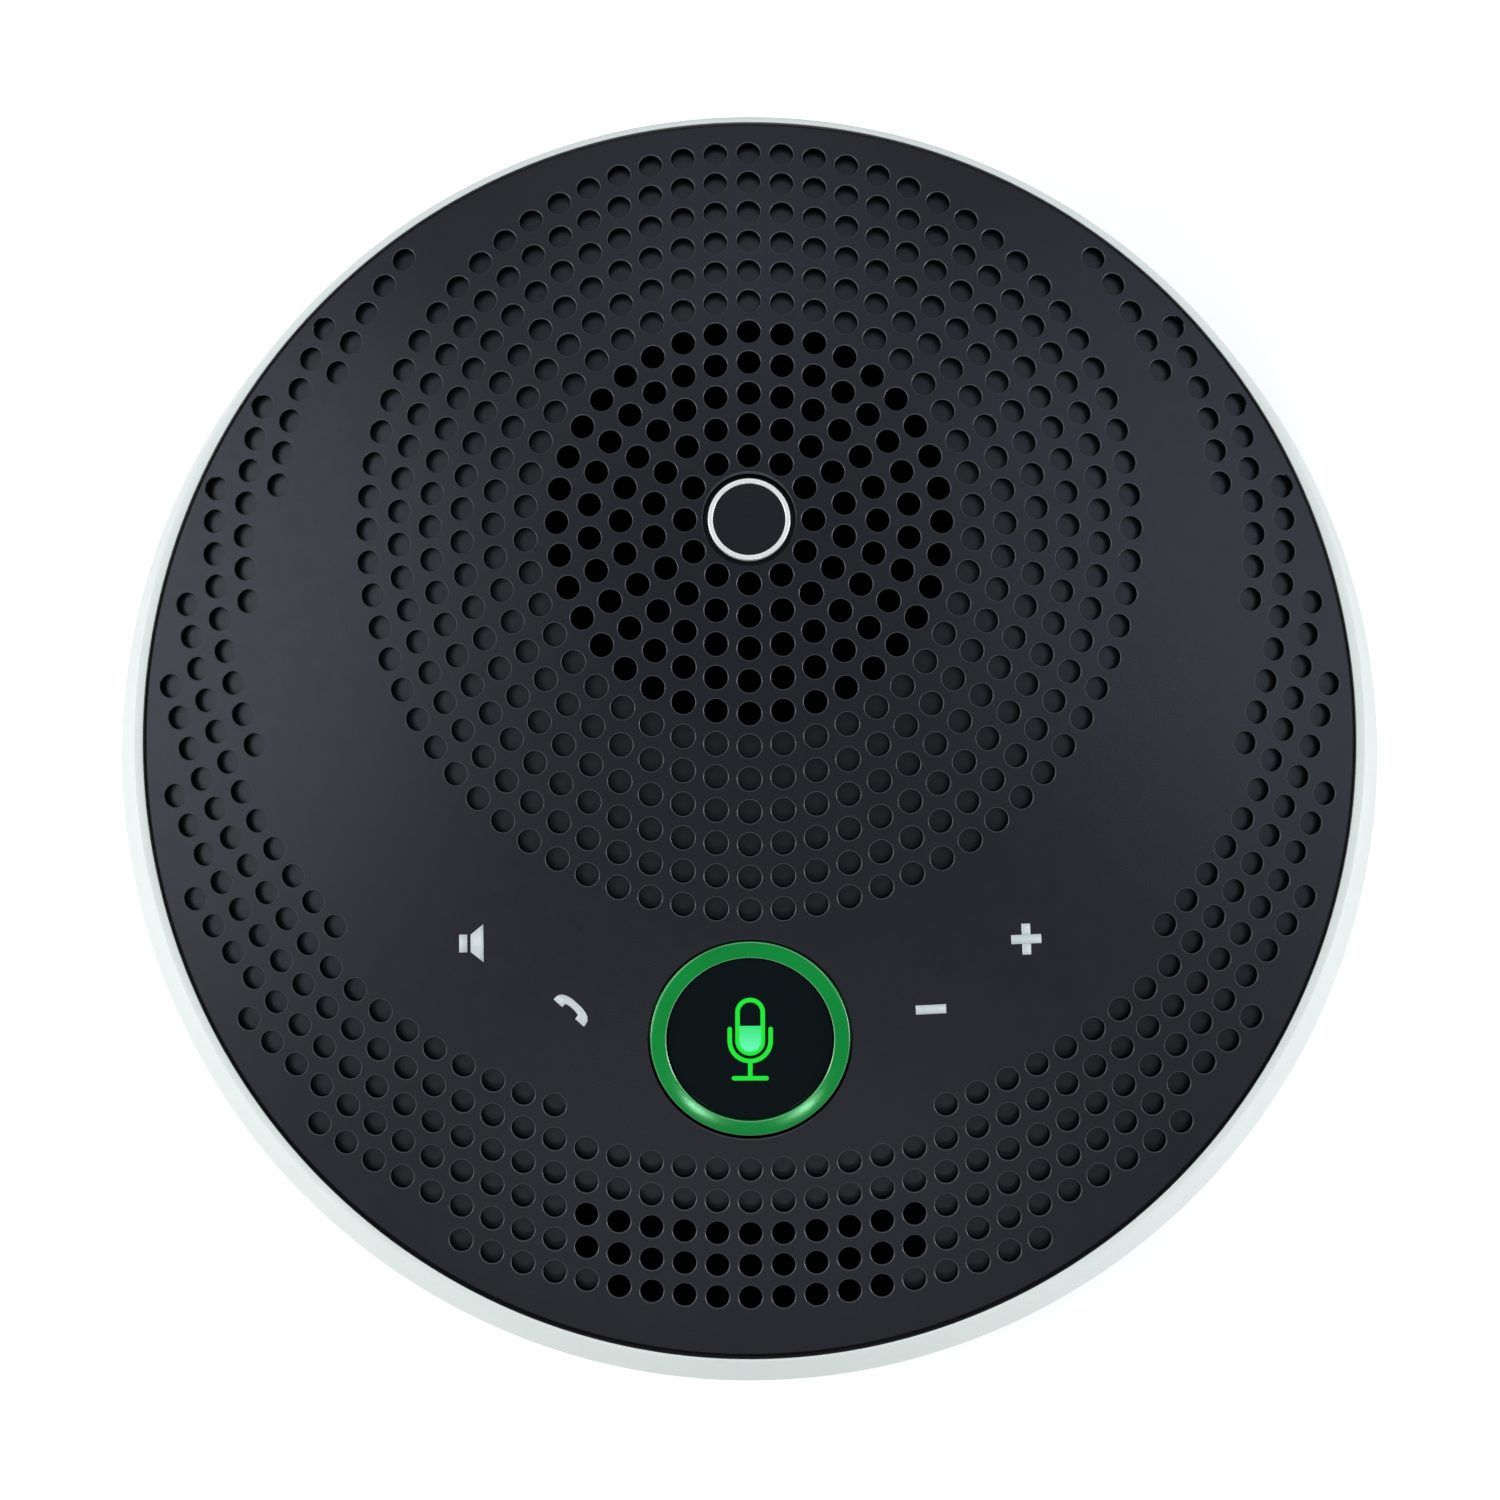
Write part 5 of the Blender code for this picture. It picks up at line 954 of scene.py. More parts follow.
def spun(name, color, roughness, depth, metallic=0.0, **sockets):
    """A spun finish: noise that depends only on the distance from the badge's centre line."""
    material, shader = new_finish(name, color, roughness, metallic, **sockets)
    centred = add_node(material, "ShaderNodeMapping", Vector=object_place(material),
                       Location=(0, -BADGE_Y, 0), Scale=(1, 1, 0)).outputs[0]
    radius = add_node(material, "ShaderNodeVectorMath", {"operation": "LENGTH"}, _0=centred).outputs["Value"]
    rings = add_node(material, "ShaderNodeTexNoise", {"noise_dimensions": "1D"}, W=radius,
                     Scale=1 / SPUN_PITCH, Detail=2.0).outputs["Fac"]
    wander(material, shader, rings, roughness, SPUN_WANDER)
    bump(material, shader, rings, depth)
    return material


# Near white and only a quarter metal: the trim's silver, with a painted reflection of the white surroundings
# in its colour.
SILVER_AND_PAINTED_REFLECTION = spun("silver_trim_painted_reflection", (0.88, 0.89, 0.90), roughness=0.24, depth=0.001 * MM, metallic=0.25)
NAVY = spun("spun_dark_badge", (0.0035, 0.005, 0.011), roughness=0.25, depth=0.003 * MM,
            **{"Specular IOR Level": 0.41})
print("spun finishes:", SILVER_AND_PAINTED_REFLECTION.name, "and", NAVY.name)

# %% [markdown]
# The badge is a silver ring round a dark disc, left plain. Both are turned. The ring is rounded on top, and
# the disc sits a little lower and rises very slightly to its middle, so its gloss isn't flat.

# %% Badge
BADGE_RING_WIDTH = 0.78 * MM
BADGE_TRIM = 0.16 * MM
BADGE_ROUND = 0.2 * MM
DISC_GAP = 0.06 * MM
DISC_DROP = 0.25 * MM
DISC_EDGE = 0.1 * MM
DISC_CROWN = 0.05 * MM

at_badge = Matrix.Translation((0, BADGE_Y, 0))
badge_low, badge_high = (corner[2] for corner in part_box("badge_ring"))
badge_inner = BADGE_RADIUS - BADGE_RING_WIDTH
badge_outer = BADGE_RADIUS - BADGE_TRIM
ring_profile = rounded([(badge_inner, badge_low), (badge_outer, badge_low), (badge_outer, badge_high),
                        (badge_inner, badge_high)], [0, 0, BADGE_ROUND, BADGE_ROUND])
badge_ring = turned_piece("badge_rim", ring_profile, SILVER_AND_PAINTED_REFLECTION, ring=True, place=at_badge)
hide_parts("badge_ring")

disc_radius = badge_inner - DISC_GAP
disc_top = badge_high - DISC_DROP
disc_profile = [(0, badge_low), (disc_radius, badge_low), (disc_radius, disc_top - DISC_EDGE),
                (disc_radius - DISC_EDGE, disc_top), (0, disc_top + DISC_CROWN)]
badge_disc = turned_piece("badge_face", disc_profile, NAVY, place=at_badge)
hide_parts("badge_disc")
print("badge: radius %.2f mm, top at %.2f mm" % (BADGE_RADIUS / MM, badge_high / MM))

# %% [markdown]
# The mute button stands square to the slope, so its pieces are turned about that axis. The light ring comes
# first: a shallow cone that falls outwards, with narrow chamfers along both edges, and a flange under the
# cover that holds it. The chamfers get the paler finish, a painted highlight, by their slope.

# %% Light ring
MUTE_CAP_RADIUS = 10.05 * MM
MUTE_SINK = 0.35 * MM
RING_INNER = MUTE_CAP_RADIUS + CLEARANCE
RING_OUTER = LIGHT_RING_RADIUS - 0.1 * MM
RING_TOP = 0.05 * MM
RING_EDGE = 0.12 * MM
RING_FALL = 0.36 * MM
RING_CROWN = 0.03 * MM
CROWN_STEPS = 11
FLANGE_OUTER = LIGHT_RING_RADIUS + 1.4 * MM
FLANGE_TOP = -(COVER_WALL + MUTE_SINK + 0.6 * MM)
FLANGE_DEPTH = 0.9 * MM
CHAMFER_SLOPES = (35, 62)    # degrees

crown_share = np.linspace(-1, 1, CROWN_STEPS)
crown = np.column_stack([
    (RING_INNER + RING_OUTER) / 2 + crown_share * ((RING_OUTER - RING_INNER) / 2 - RING_EDGE),
    RING_TOP - RING_FALL * (1 + crown_share) / 2 - RING_CROWN * crown_share**2])
light_profile = [
    (RING_INNER, crown[0, 1] - RING_EDGE), *crown, (RING_OUTER, crown[-1, 1] - RING_EDGE),
    (RING_OUTER, FLANGE_TOP), (FLANGE_OUTER, FLANGE_TOP), (FLANGE_OUTER, FLANGE_TOP - FLANGE_DEPTH),
    (RING_INNER, FLANGE_TOP - FLANGE_DEPTH)]
light_ring = turned_piece("mute_ring_light", light_profile, LIGHT_GUIDE, ring=True, place=MUTE_PLACE,
                          sides=FINE_SIDES)
MUTE_AXIS = np.array(MUTE_PLACE.col[2][:3])
slope = slopes(light_ring.data, lambda at: MUTE_AXIS)[1]
# the chamfers between these slopes get the painted highlight
painted_highlight_chamfers = (slope > CHAMFER_SLOPES[0]) & (slope < CHAMFER_SLOPES[1])
print("faces of cone and chamfers:", give_finishes(light_ring.data, [LIGHT_GUIDE, GUIDE_PAINTED_HIGHLIGHT], painted_highlight_chamfers))
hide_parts("mute_light_ring")

# %% [markdown]
# The cap inside the ring is dark and glossy, and sits a hair lower. Under its disc a skirt spreads out
# below the ring's flange, which is what stops it at the top of its travel. It rides on the mute button's
# body.

# %% Mute cap
CAP_EDGE = 0.15 * MM
CAP_SKIRT = 1.1 * MM
CAP_DISC = 1.85 * MM
CAP_ROUND = 0.2 * MM
SKIRT_TOP = FLANGE_TOP - FLANGE_DEPTH - CLEARANCE
SKIRT_BOTTOM = SKIRT_TOP - FLANGE_DEPTH

cap_edge = MUTE_CAP_RADIUS + CAP_EDGE
skirt_outer = MUTE_CAP_RADIUS + CAP_SKIRT
skirt_inner = MUTE_CAP_RADIUS - CAP_SKIRT
cap_profile = rounded([
    (0, -MUTE_SINK), (cap_edge, -MUTE_SINK), (cap_edge, SKIRT_TOP), (skirt_outer, SKIRT_TOP),
    (skirt_outer, SKIRT_BOTTOM), (skirt_inner, SKIRT_BOTTOM), (skirt_inner, -MUTE_SINK - CAP_DISC),
    (0, -MUTE_SINK - CAP_DISC)], [0, CAP_ROUND, 0, 0, 0, 0, 0, 0])
mute_cap = turned_piece("mute_cap_disc", cap_profile, CAP_GLOSS, "mute_button", place=MUTE_PLACE,
                        sides=FINE_SIDES)
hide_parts("mute_cap")
print("mute button at", [round(value / MM, 2) for value in MUTE_PLACE.translation], "mm")

# %% [markdown]
# Signs are thin strokes: a half width carried along a centre line, which falls as a circle's does at each
# end, so the ends are round. A curve object with a bevel would do for one line, but a grid can also be
# lifted onto the cover and closes on itself exactly.

# %% Strokes
TIP_STEPS = 5
TIP_SHARE = 0.02


def unit(vector):
    """The vector at unit length."""
    return vector / np.linalg.norm(vector)


def stroke(path, width, closed=False):
    """Two rows of points beside a path, at half the width along its normal; open ends are rounded off by
    steps along the tangent, with the half width taken from the circle."""
    path = np.asarray(path, dtype=float)
    half = np.full(len(path), width / 2)
    if closed:
        way = np.roll(path, -1, axis=0) - np.roll(path, 1, axis=0)
    else:
        way = np.gradient(path, axis=0)
        turn = np.linspace(0, math.pi / 2, TIP_STEPS + 1)[1:, None]
        ends = [unit(way[0]), unit(way[-1])]
        head = path[0] - ends[0] * np.sin(turn[::-1]) * width / 2
        tail = path[-1] + ends[1] * np.sin(turn) * width / 2
        fade = np.maximum(np.cos(turn[:, 0]), TIP_SHARE) * width / 2
        path = np.concatenate([head, path, tail])
        half = np.concatenate([fade[::-1], half, fade])
        way = np.concatenate([np.repeat(ends[:1], TIP_STEPS, axis=0), way,
                              np.repeat(ends[1:], TIP_STEPS, axis=0)])
    way = way / np.linalg.norm(way, axis=-1, keepdims=True)
    side = np.stack([-way[:, 1], way[:, 0]], axis=-1) * half[:, None]
    return np.stack([path + side, path - side])


def arc(centre, radius, start, stop, steps=16):
    """Points on a circle between two angles in degrees."""
    turn = np.radians(np.linspace(start, stop, steps))
    return np.stack([centre[0] + radius * np.cos(turn), centre[1] + radius * np.sin(turn)], axis=-1)


def line(start, stop, steps=6):
    """Evenly spaced points between two points."""
    share = np.linspace(0, 1, steps)[:, None]
    return np.array(start) * (1 - share) + np.array(stop) * share


print("a short stroke has", stroke(line((0, 0), (1, 0)), 0.2).shape[:2], "points")

# %% [markdown]
# A sign is one or more such plates, drawn in plan. A function lifts the plan points onto what carries them,
# the flat cap or the dome, and a Solidify modifier gives the print its thickness, so it is a solid too.

# %% Signs as plates
SIGN_LIFT = 0.02 * MM
SIGN_THICKNESS = 0.05 * MM


def sign(name, plates, lift_to, finish, body="housing"):
    """A sign from one or more plates, each a grid of plan points and whether it closes; lift_to puts plan
    points on what carries them, and the plate is given a thickness downwards."""
    points, faces = joined([
        (lift_to(plate.reshape(-1, 2)), grid_faces(*plate.shape[:2], wrap_columns=closed))
        for plate, closed in plates])
    mesh = bpy.data.meshes.new(name)
    mesh.from_pydata(points.tolist(), [], faces.tolist())
    if mesh.polygons[0].normal.dot(Vector(MUTE_AXIS)) < 0:
        mesh.flip_normals()
    piece = add_piece(name, mesh, finish, body)
    wall = piece.modifiers.new("thickness", "SOLIDIFY")
    wall.thickness = SIGN_THICKNESS
    wall.offset = -1.0
    return piece


def on_cap(points):
    """Plan points on the cap's own plane, lifted a hair above it."""
    flat = np.column_stack([points, np.full(len(points), -MUTE_SINK + SIGN_LIFT)])
    return moved(flat, MUTE_PLACE)


def on_dome(points):
    """Plan points put on the cover, a hair above it."""
    return np.column_stack([points, dome_height(points[:, 0], points[:, 1]) + SIGN_LIFT])


print("signs are %.2f mm thick" % (SIGN_THICKNESS / MM))

# %% [markdown]
# The microphone sign on the cap is drawn with four strokes: the capsule, which closes, the cradle round it,
# the stem and the foot. They glow green. It rides with the cap, since it is printed on it.

# %% Microphone sign on the cap
SIGN_STROKE = 0.56 * MM
CAPSULE_RADIUS = 1.55 * MM
CAPSULE_TOP = 3.43 * MM
CAPSULE_BOTTOM = -0.25 * MM
CRADLE_RADIUS = 2.52 * MM
CRADLE_TOP = 1.3 * MM
SIGN_FOOT = -4.95 * MM
FOOT_HALF = 2.0 * MM
SIGN_REACH = 5 * MM

SIGN_Y = MUTE_PLACE.translation[1]
GREEN_GLOW = glowing("green_sign_glow", SIGN_GREEN, SIGN_GREEN, SIGN_Y - SIGN_REACH, SIGN_Y + SIGN_REACH)
capsule = np.concatenate([arc((0, CAPSULE_TOP), CAPSULE_RADIUS, 0, 180),
                          arc((0, CAPSULE_BOTTOM), CAPSULE_RADIUS, 180, 360)])
cradle = np.concatenate([line((-CRADLE_RADIUS, CRADLE_TOP), (-CRADLE_RADIUS, CAPSULE_BOTTOM), 4)[:-1],
                         arc((0, CAPSULE_BOTTOM), CRADLE_RADIUS, 180, 360),
                         line((CRADLE_RADIUS, CAPSULE_BOTTOM), (CRADLE_RADIUS, CRADLE_TOP), 4)[1:]])
stem = line((0, CAPSULE_BOTTOM - CRADLE_RADIUS), (0, SIGN_FOOT))
foot_bar = line((-FOOT_HALF, SIGN_FOOT), (FOOT_HALF, SIGN_FOOT))
strokes = [(stroke(path, SIGN_STROKE, closed=closed), closed)
           for path, closed in ((capsule, True), (cradle, False), (stem, False), (foot_bar, False))]
mic_sign = sign("mute_sign", strokes, on_cap, GREEN_GLOW, "mute_button")
print("microphone sign:", len(mic_sign.data.polygons), "faces")

# %% [markdown]
# The capsule's lower part is filled and glows in mint. The fill is a plate of two rows from a level top
# down to the pole of the capsule's lower half circle.

# %% Fill of the microphone sign
FILL_TOP = 1.7 * MM
FILL_STEPS = 14
FILL_TIP = 0.01 * MM
MINT_LOW = -1 * MM
MINT_HIGH = 1.6 * MM

MINT_GLOW = glowing("mint_sign_glow", SIGN_MINT, WINDOW_GREEN, SIGN_Y + MINT_LOW, SIGN_Y + MINT_HIGH)
fill_half = CAPSULE_RADIUS - SIGN_STROKE / 4
down = np.linspace(FILL_TOP, CAPSULE_BOTTOM - fill_half, FILL_STEPS)
wide = np.sqrt(np.maximum(fill_half**2 - np.minimum(down - CAPSULE_BOTTOM, 0)**2, 0)) + FILL_TIP
fill_plate = np.stack([np.column_stack([-wide, down]), np.column_stack([wide, down])])
mic_fill = sign("mute_sign_fill", [(fill_plate, False)], on_cap, MINT_GLOW, "mute_button")
print("its fill:", len(mic_fill.data.polygons), "faces")

# %% [markdown]
# The four touch keys have no edges of their own, only printed signs on the arc of hole ring sixteen: a
# loudspeaker, a handset, minus and plus. They are generic signs, turned a little to follow the arc. Minus
# is one bar; plus is the same bar with two short ones beside it, so that no faces overlap.

# %% Plus and minus
KEY_STROKE = 1.09 * MM
PLUS_PLACE = (34.05 * MM, -25.29 * MM)
MINUS_PLACE = (22.28 * MM, -33.88 * MM)
PLUS_SIZE = 3.75 * MM
SIGN_TILT = 3.0
BAR_STEPS = 4


def turned_by(points, degrees, centre):
    """Plan points turned clockwise about the origin by an angle and moved to a centre."""
    turn = math.radians(degrees)
    spin = np.array([[math.cos(turn), math.sin(turn)], [-math.sin(turn), math.cos(turn)]])
    return points @ spin + np.array(centre)


def bar(width, height, steps=BAR_STEPS):
    """A rectangle as a plate of two rows."""
    x = np.linspace(-width / 2, width / 2, steps)
    return np.stack([np.column_stack([x, np.full(steps, height / 2)]),
                     np.column_stack([x, np.full(steps, -height / 2)])])


arm = (PLUS_SIZE - KEY_STROKE) / 2
plus_plates = [(turned_by(bar(PLUS_SIZE, KEY_STROKE), SIGN_TILT, PLUS_PLACE), False)]
for side in (1, -1):
    upright = bar(arm, KEY_STROKE) + [side * (KEY_STROKE + arm) / 2, 0]
    plus_plates.append((turned_by(upright, 90 + SIGN_TILT, PLUS_PLACE), False))
plus = sign("plus_sign", plus_plates, on_dome, KEY_PRINT)
minus = sign("minus_sign", [(turned_by(bar(PLUS_SIZE, KEY_STROKE), SIGN_TILT, MINUS_PLACE), False)],
             on_dome, KEY_PRINT)
print("signs:", plus.name, "and", minus.name)

# %% [markdown]
# The loudspeaker sign is two plates: the magnet's small rectangle, and the horn, whose half height grows
# evenly along its length.

# %% Loudspeaker sign
SPEAKER_PLACE = (-34.11 * MM, -25.67 * MM)
MAGNET_SIZE = (1.0 * MM, 2.15 * MM)
MAGNET_SHIFT = -1.25 * MM
HORN_SPAN = (-0.32 * MM, 1.27 * MM)
HORN_HALVES = (1.05 * MM, 2.3 * MM)

magnet = bar(*MAGNET_SIZE, 2) + [MAGNET_SHIFT, 0]
horn_x = np.linspace(*HORN_SPAN, 4)
horn_half = np.linspace(*HORN_HALVES, 4)
horn = np.stack([np.column_stack([horn_x, horn_half]), np.column_stack([horn_x, -horn_half])])
speaker_sign = sign("speaker_sign", [(plate + SPEAKER_PLACE, False) for plate in (magnet, horn)],
                    on_dome, KEY_PRINT)
print("sign:", speaker_sign.name)

# %% [markdown]
# The handset sign is one plate between two curves. Its top is an oval's upper half with a raised power, so
# its ends are full. Its bottom is level under the two pads, and between them it steps up to the grip's
# shallow arch.

# %% Handset sign
HANDSET_PLACE = (-22.35 * MM, -34.23 * MM)
HANDSET_TURN = -42
HANDSET_LENGTH = 5.0 * MM
HANDSET_HEIGHT = 1.57 * MM
HANDSET_ROUND = 2.8
STEP_LEAN = 0.97
PAD_WIDTH = 1.43 * MM
PAD_STEPS = 7
GRIP_LOW = 0.57 * MM
GRIP_RISE = 0.15 * MM
GRIP_STEPS = 9


def handset_plate():
    """Top: height times (1 - |x / half|^round)^(1 / round). Bottom: nought under the pads; between them the
    grip's low, plus its rise times one less the squared share of the notch."""
    half = HANDSET_LENGTH / 2
    notch = half - PAD_WIDTH
    pad = half * np.sin(np.linspace(math.pi / 2, math.asin(notch / half), PAD_STEPS))
    grip = np.linspace(-notch, notch, GRIP_STEPS)
    along = np.concatenate([-pad, grip * STEP_LEAN, pad[::-1]])
    top = HANDSET_HEIGHT * (1 - np.abs(along / half)**HANDSET_ROUND)**(1 / HANDSET_ROUND)
    arch = GRIP_LOW + GRIP_RISE * (1 - (grip / notch)**2)
    bottom = np.concatenate([np.zeros(PAD_STEPS), arch, np.zeros(PAD_STEPS)])
    return np.stack([np.column_stack([along, top]), np.column_stack([along, bottom])])


handset = sign("handset_sign", [(turned_by(handset_plate(), HANDSET_TURN, HANDSET_PLACE), False)],
               on_dome, KEY_PRINT)
print("sign:", handset.name)

# %% [markdown]
# Inside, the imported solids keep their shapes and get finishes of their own. Three of these need a pattern:
# the acoustic cloth's threads, the voice coil's turns of wire, and the copper tracks under a board's solder
# mask. Waves and bricks give all of them, at the real pitch.

# %% Cloth, wound wire and circuit boards
CLOTH_RELIEF = 0.05 * MM
BOARD_RELIEF = 0.02 * MM
TRACKS_PER_METRE = 60.0


def woven(name, color, thread):
    """Cloth: two waves at right angles, the larger of which lies on top, so threads cross over and under. A
    wave repeats once in a full turn, so its scale is one over a turn times the thread."""
    material, shader = new_finish(name, color, 0.9, **{"Specular IOR Level": 0.05})
    place = object_place(material)
    waves = [add_node(material, "ShaderNodeTexWave", {"bands_direction": way}, Vector=place,
                      Scale=1 / (TURN * thread), Distortion=0.4).outputs["Fac"] for way in ("X", "Y")]
    larger = add_node(material, "ShaderNodeMath", {"operation": "MAXIMUM"}, _0=waves[0], _1=waves[1])
    over = larger.outputs[0]
    color = np.array(color)
    feed(material, shader, "Base Color", blend(material, over, color * 0.4, color * 1.6))
    bump(material, shader, over, CLOTH_RELIEF)
    return material


def wound(name, color, pitch):
    """Wire wound round an upright former: fine bands along the height."""
    material, shader = new_finish(name, color, 0.3, metallic=1.0)
    bands = add_node(material, "ShaderNodeTexWave", {"bands_direction": "Z"}, Vector=object_place(material),
                     Scale=1 / (TURN * pitch)).outputs["Fac"]
    color = np.array(color)
    feed(material, shader, "Base Color", blend(material, bands, color * 0.5, color))
    bump(material, shader, bands, CLOTH_RELIEF)
    return material


def printed_board(name, mask=(0.008, 0.10, 0.04)):
    """Green solder mask over a faint grid of copper tracks."""
    material, shader = new_finish(name, mask, 0.35)
    tracks = add_node(material, "ShaderNodeTexBrick", {"offset": 0.5}, Vector=object_place(material),
                      Scale=TRACKS_PER_METRE)
    for socket, value in (("Color1", (0.008, 0.11, 0.045, 1)), ("Color2", (0.006, 0.09, 0.035, 1)),
                          ("Mortar", (0.02, 0.17, 0.07, 1)), ("Mortar Size", 0.03)):
        tracks.inputs[socket].default_value = value
    feed(material, shader, "Base Color", tracks.outputs["Color"])
    bump(material, shader, tracks.outputs["Fac"], BOARD_RELIEF)
    return material


print("cloth, wire and board finishes are ready")

# %% [markdown]
# Each inner solid now gets its finish: plated steel, ferrite, wound copper, doped paper, woven cloth,
# solder mask, moulded epoxy, foil and film. They show through the sound holes and the sockets, and in an
# exploded view.

# %% Inner finishes
SCREWS = [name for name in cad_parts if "screw" in name]
INNER_FINISHES = [
    (rolled_metal("zinc_plated_steel", (0.60, 0.61, 0.62), roughness=0.35),
     ["speaker_basket", "speaker_top_plate", "speaker_yoke", "shield_can", "radio_module", "usb_socket",
      "mic_capsule", *SCREWS]),
    (moulded("sintered_ferrite", (0.06, 0.06, 0.065), roughness=0.6, grain=0.4 * MM, depth=0.03 * MM),
     ["speaker_magnet"]),
    (moulded("doped_cone_paper", (0.03, 0.03, 0.03), roughness=0.85, grain=0.5 * MM, depth=0.05 * MM,
             cloud=0.2), ["speaker_cone", "speaker_dust_cap"]),
    (RUBBER, ["speaker_surround", "speaker_gasket", "mic_boot"]),
    (wound("wound_copper", (0.72, 0.36, 0.18), pitch=0.15 * MM), ["voice_coil"]),
    (moulded("amber_film", (0.45, 0.20, 0.03), roughness=0.3, grain=1.0 * MM, depth=0.01 * MM, cloud=0.15),
     ["speaker_spider", "touch_film_left", "touch_film_right", "nfc_antenna"]),
    (woven("black_acoustic_cloth", (0.0012, 0.0012, 0.0014), thread=0.12 * MM),
     ["grille_cloth", "mic_mesh"]),
    (printed_board("green_circuit_board"), ["main_board", "mute_board", "io_board"]),
    (moulded("moulded_epoxy", (0.015, 0.015, 0.016), roughness=0.5, grain=0.2 * MM, depth=0.01 * MM),
     ["amplifier_chip", "mute_switch", "power_switch", "pairing_switch"]),
    (moulded("dark_inner_plastic", (0.03, 0.03, 0.032), roughness=0.5, grain=0.25 * MM, depth=0.01 * MM),
     ["speaker_chamber", "battery_tray", "headphone_socket", "mute_plunger"]),
    (moulded("blue_battery_wrap", (0.08, 0.14, 0.30), roughness=0.35, grain=2.0 * MM, depth=0.02 * MM,
             cloud=0.1), ["battery_cell"]),
    (moulded("red_wire_sleeve", (0.45, 0.02, 0.02), roughness=0.45, grain=0.5 * MM, depth=0.01 * MM),
     ["battery_lead", "speaker_lead", "touch_lead", "io_lead"]),
    (moulded("clear_green_lamp", (0.05, 0.5, 0.15), roughness=0.2, grain=0.3 * MM, depth=0.005 * MM),
     ["ring_led_1", "ring_led_2", "ring_led_3"]),
]
for finish, names in INNER_FINISHES:
    for name in names:
        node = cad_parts[name]
        node.data.materials.clear()
        node.data.materials.append(finish)
print("inner finishes:", len(INNER_FINISHES), "on", sum(len(names) for _, names in INNER_FINISHES), "nodes")

# %% [markdown]
# The object stands on a sheet of white paper. A white background could come from more light, but then the
# pale bowl would clip. So the floor glows faintly for the camera alone, which lifts it to plain white,
# lights nothing and leaves the contact shadow.

# %% Floor
FLOOR_SIZE = 2.6
FLOOR_GLOW = 0.3
PAPER_CLOUD = 0.15
PAPER_TONES = ((0.925, 0.925, 0.925), (0.935, 0.935, 0.935))


def seen_by_camera(tree):
    """One where the camera looks straight at it, and nought where light or a reflection is gathered."""
    return tree.nodes.new("ShaderNodeLightPath").outputs["Is Camera Ray"]


def make_floor():
    """A wide flat sheet under the feet, with its glow shown to the camera alone."""
    half = FLOOR_SIZE / 2
    mesh = bpy.data.meshes.new("studio_floor")
    mesh.from_pydata([(-half, -half, 0), (half, -half, 0), (half, half, 0), (-half, half, 0)], [],
                     [(0, 1, 2, 3)])
    material, shader = new_finish("floor_paper", (0.93, 0.93, 0.93), 0.9)
    clouds = spread(material, noise(material, PAPER_CLOUD), 0, 1)
    feed(material, shader, "Base Color", blend(material, clouds, *PAPER_TONES))
    shader.inputs["Emission Color"].default_value = (1, 1, 1, 1)
    glow = spread(material, seen_by_camera(material.node_tree), 0, FLOOR_GLOW, 0, 1)
    feed(material, shader, "Emission Strength", glow)
    mesh.materials.append(material)
    floor = bpy.data.objects.new("studio_floor", mesh)
    bpy.context.scene.collection.objects.link(floor)
    return floor


print("floor:", make_floor().name, "%.1f m wide" % FLOOR_SIZE)

# %% [markdown]
# Broad soft lamps light the object. The panel on the upper left gives the sheen on the cover's left side,
# and a weaker one stands on the right and one behind. Two low panels light the bowl's edge, and two small
# ones in front put the bright spots on the light ring. A lamp's power falls with its distance squared, so
# far lamps keep the light even. Each is a row of the table below: its name, place, size in metres, watts
# and colour.

# %% Lamps
COOL_WHITE = (0.98, 0.98, 1.0)
ROSE_WHITE = (1.0, 0.96, 0.98)
PLAIN_WHITE = (1.0, 1.0, 1.0)
LAMP_AIM = (0, 0, 0.02)
LAMPS = [
    ("left_panel", (-0.74, 0.03, 0.72), (0.95, 0.42), 3.7, COOL_WHITE),
    ("right_panel", (0.62, 0.16, 0.76), (0.85, 0.4), 1.7, (0.87, 0.94, 1.0)),
    ("back_panel", (-0.05, 0.6, 0.85), (0.5, 0.4), 0.8, (0.88, 0.94, 1.0)),
    ("left_edge_panel", (-1.0, -0.1, 0.22), (0.5, 0.3), 3.4, ROSE_WHITE),
    ("right_edge_panel", (1.0, -0.1, 0.22), (0.5, 0.3), 4.8, ROSE_WHITE),
    ("front_panel", (-0.25, -0.90, 0.75), (0.12, 0.12), 1.1, PLAIN_WHITE),
    ("front_panel", (0.25, -0.90, 0.75), (0.12, 0.12), 1.1, PLAIN_WHITE),
]


def softbox(name, place, size, power, color):
    """A rectangular area lamp at a place, aimed at the object; its size is its width, then its height."""
    lamp = bpy.data.lights.new(name, "AREA")
    lamp.shape = "RECTANGLE"
    lamp.size = size[0]
    lamp.size_y = size[1]
    lamp.energy = power
    lamp.color = color
    holder = bpy.data.objects.new(name, lamp)
    bpy.context.scene.collection.objects.link(holder)
    holder.location = place
    holder.rotation_euler = (Vector(LAMP_AIM) - Vector(place)).to_track_quat("-Z", "Y").to_euler()
    return holder


for row in LAMPS:
    softbox(*row)
print("lamps:", len(LAMPS), "with", round(sum(row[3] for row in LAMPS), 1), "W in all")

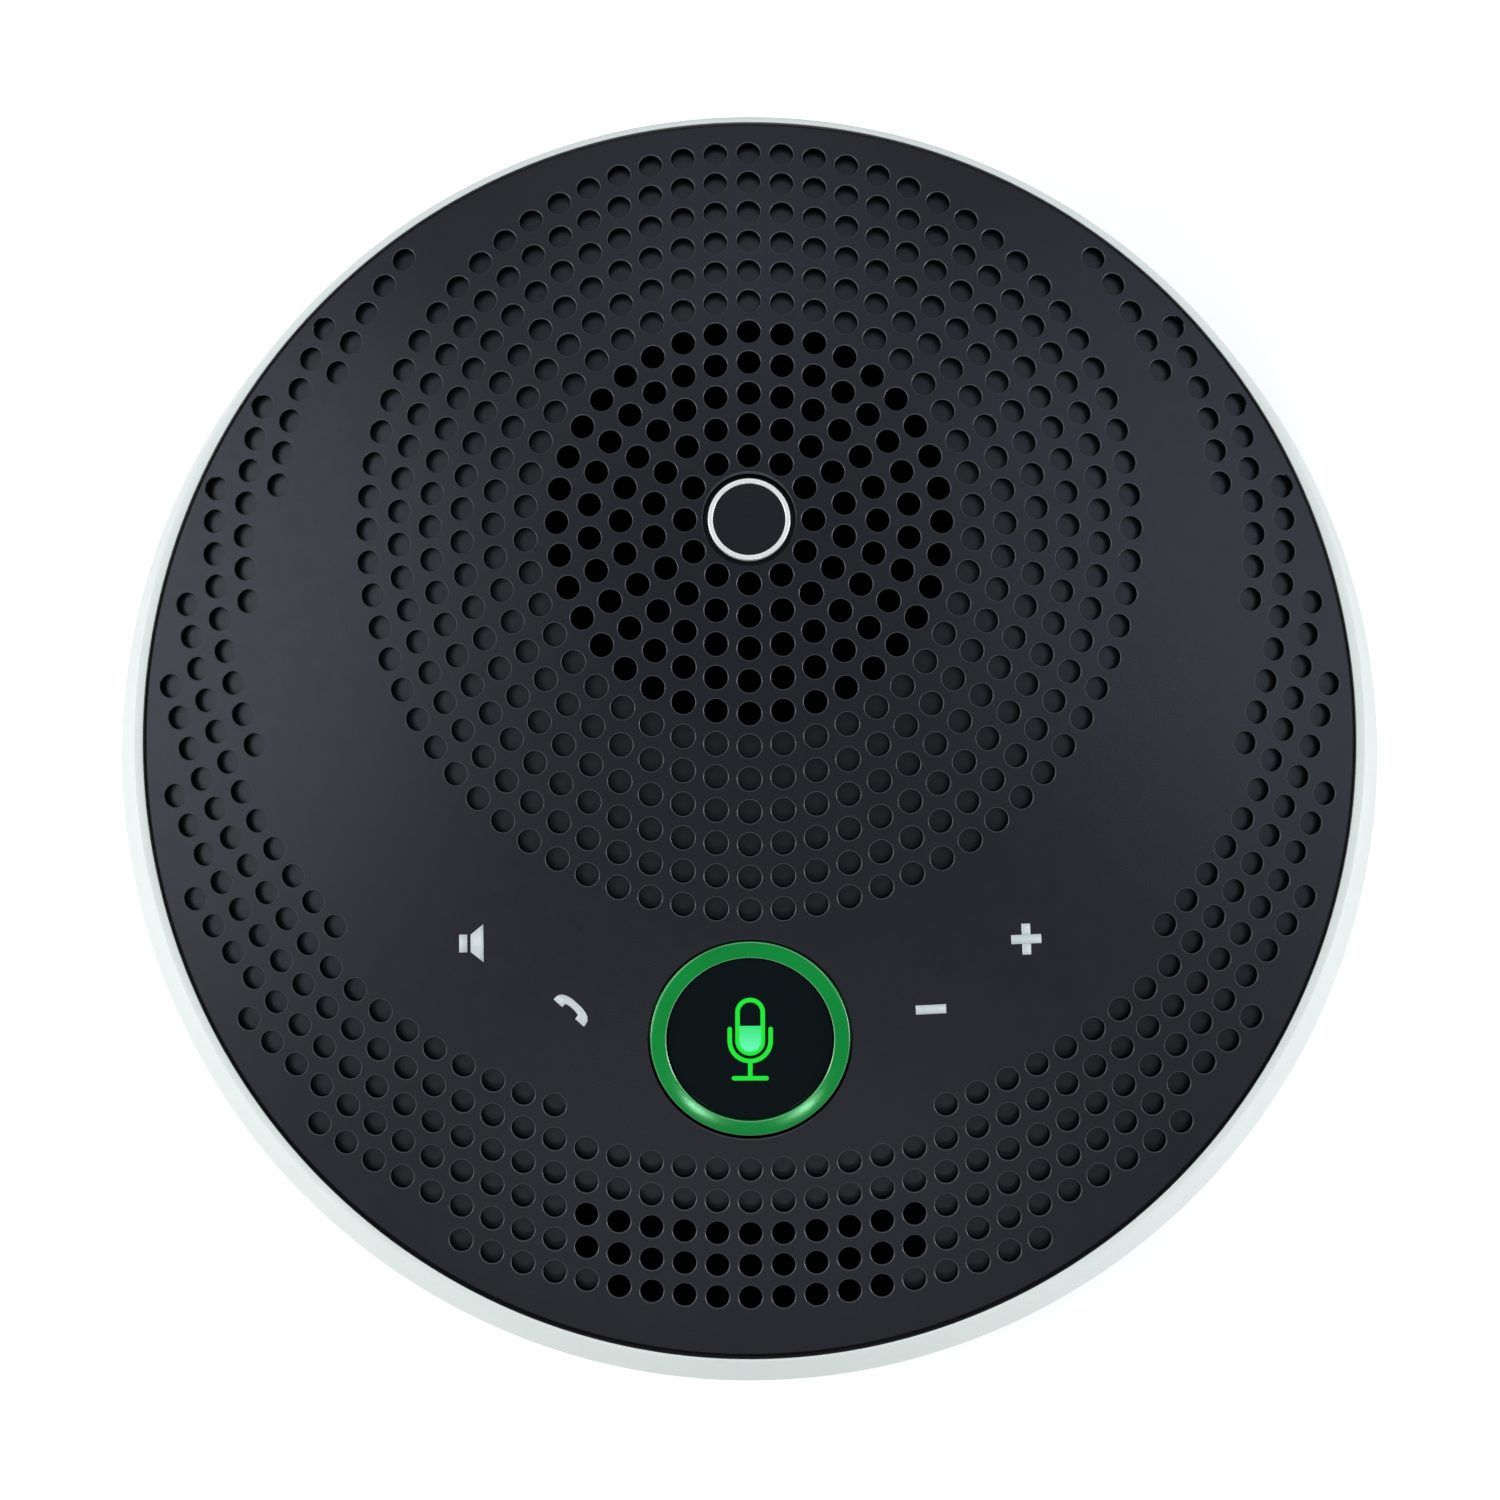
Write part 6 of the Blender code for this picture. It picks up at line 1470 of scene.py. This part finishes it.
# %% [markdown]
# The world adds an even fill from all sides. The camera sees it as plain white, and nothing else does,
# because a white world in reflections would lay a flat grey sheen on the dark cover.

# %% World
WORLD_FILL = 0.35


def light_world(strength):
    """White fill of a strength for light and reflections, and of one for the camera."""
    world = bpy.data.worlds.new("studio_world")
    bpy.context.scene.world = world
    world.use_nodes = True
    tree = world.node_tree
    tree.nodes["Background"].inputs["Color"].default_value = (1, 1, 1, 1)
    fill = tree.nodes.new("ShaderNodeMapRange")
    fill.inputs["To Min"].default_value = strength
    fill.inputs["To Max"].default_value = 1.0
    tree.links.new(seen_by_camera(tree), fill.inputs["Value"])
    tree.links.new(fill.outputs[0], tree.nodes["Background"].inputs["Strength"])


light_world(WORLD_FILL)
bpy.context.scene.view_settings.view_transform = "Standard"
print("world fill:", WORLD_FILL, "and view transform Standard")

# %% [markdown]
# The camera stands on the user's side, almost overhead. Its distance and lens come from how the rings of
# holes spread in the photograph, and it aims at a point on the cover just in front of the middle. A track
# constraint could aim it, but a turn that is worked out can be rolled by a small angle as well.

# %% Camera
CAMERA_ELEVATION = math.radians(83.18)
CAMERA_DISTANCE = 502 * MM
CAMERA_LENS = 99.5
CAMERA_SENSOR = 36.0
CAMERA_AIM = Vector((0.05 * MM, -3.14 * MM, 36.5 * MM))
CAMERA_ROLL = math.radians(-0.12)


def make_camera():
    """A camera at a distance along the viewing direction from its aim, turned by its roll."""
    camera = bpy.data.objects.new("camera", bpy.data.cameras.new("camera"))
    bpy.context.scene.collection.objects.link(camera)
    way = Vector((0, -math.cos(CAMERA_ELEVATION), math.sin(CAMERA_ELEVATION)))
    camera.location = CAMERA_AIM + way * CAMERA_DISTANCE
    look = (-way).to_track_quat("-Z", "Y").to_matrix()
    camera.rotation_euler = (look @ Matrix.Rotation(CAMERA_ROLL, 3, "Z")).to_euler()
    camera.data.lens = CAMERA_LENS
    camera.data.sensor_width = CAMERA_SENSOR
    bpy.context.scene.camera = camera
    return camera


print("camera at", [round(v, 3) for v in make_camera().location])

# %% [markdown]
# At the end the script says that the scene is built.

# %% End
print("scene built")
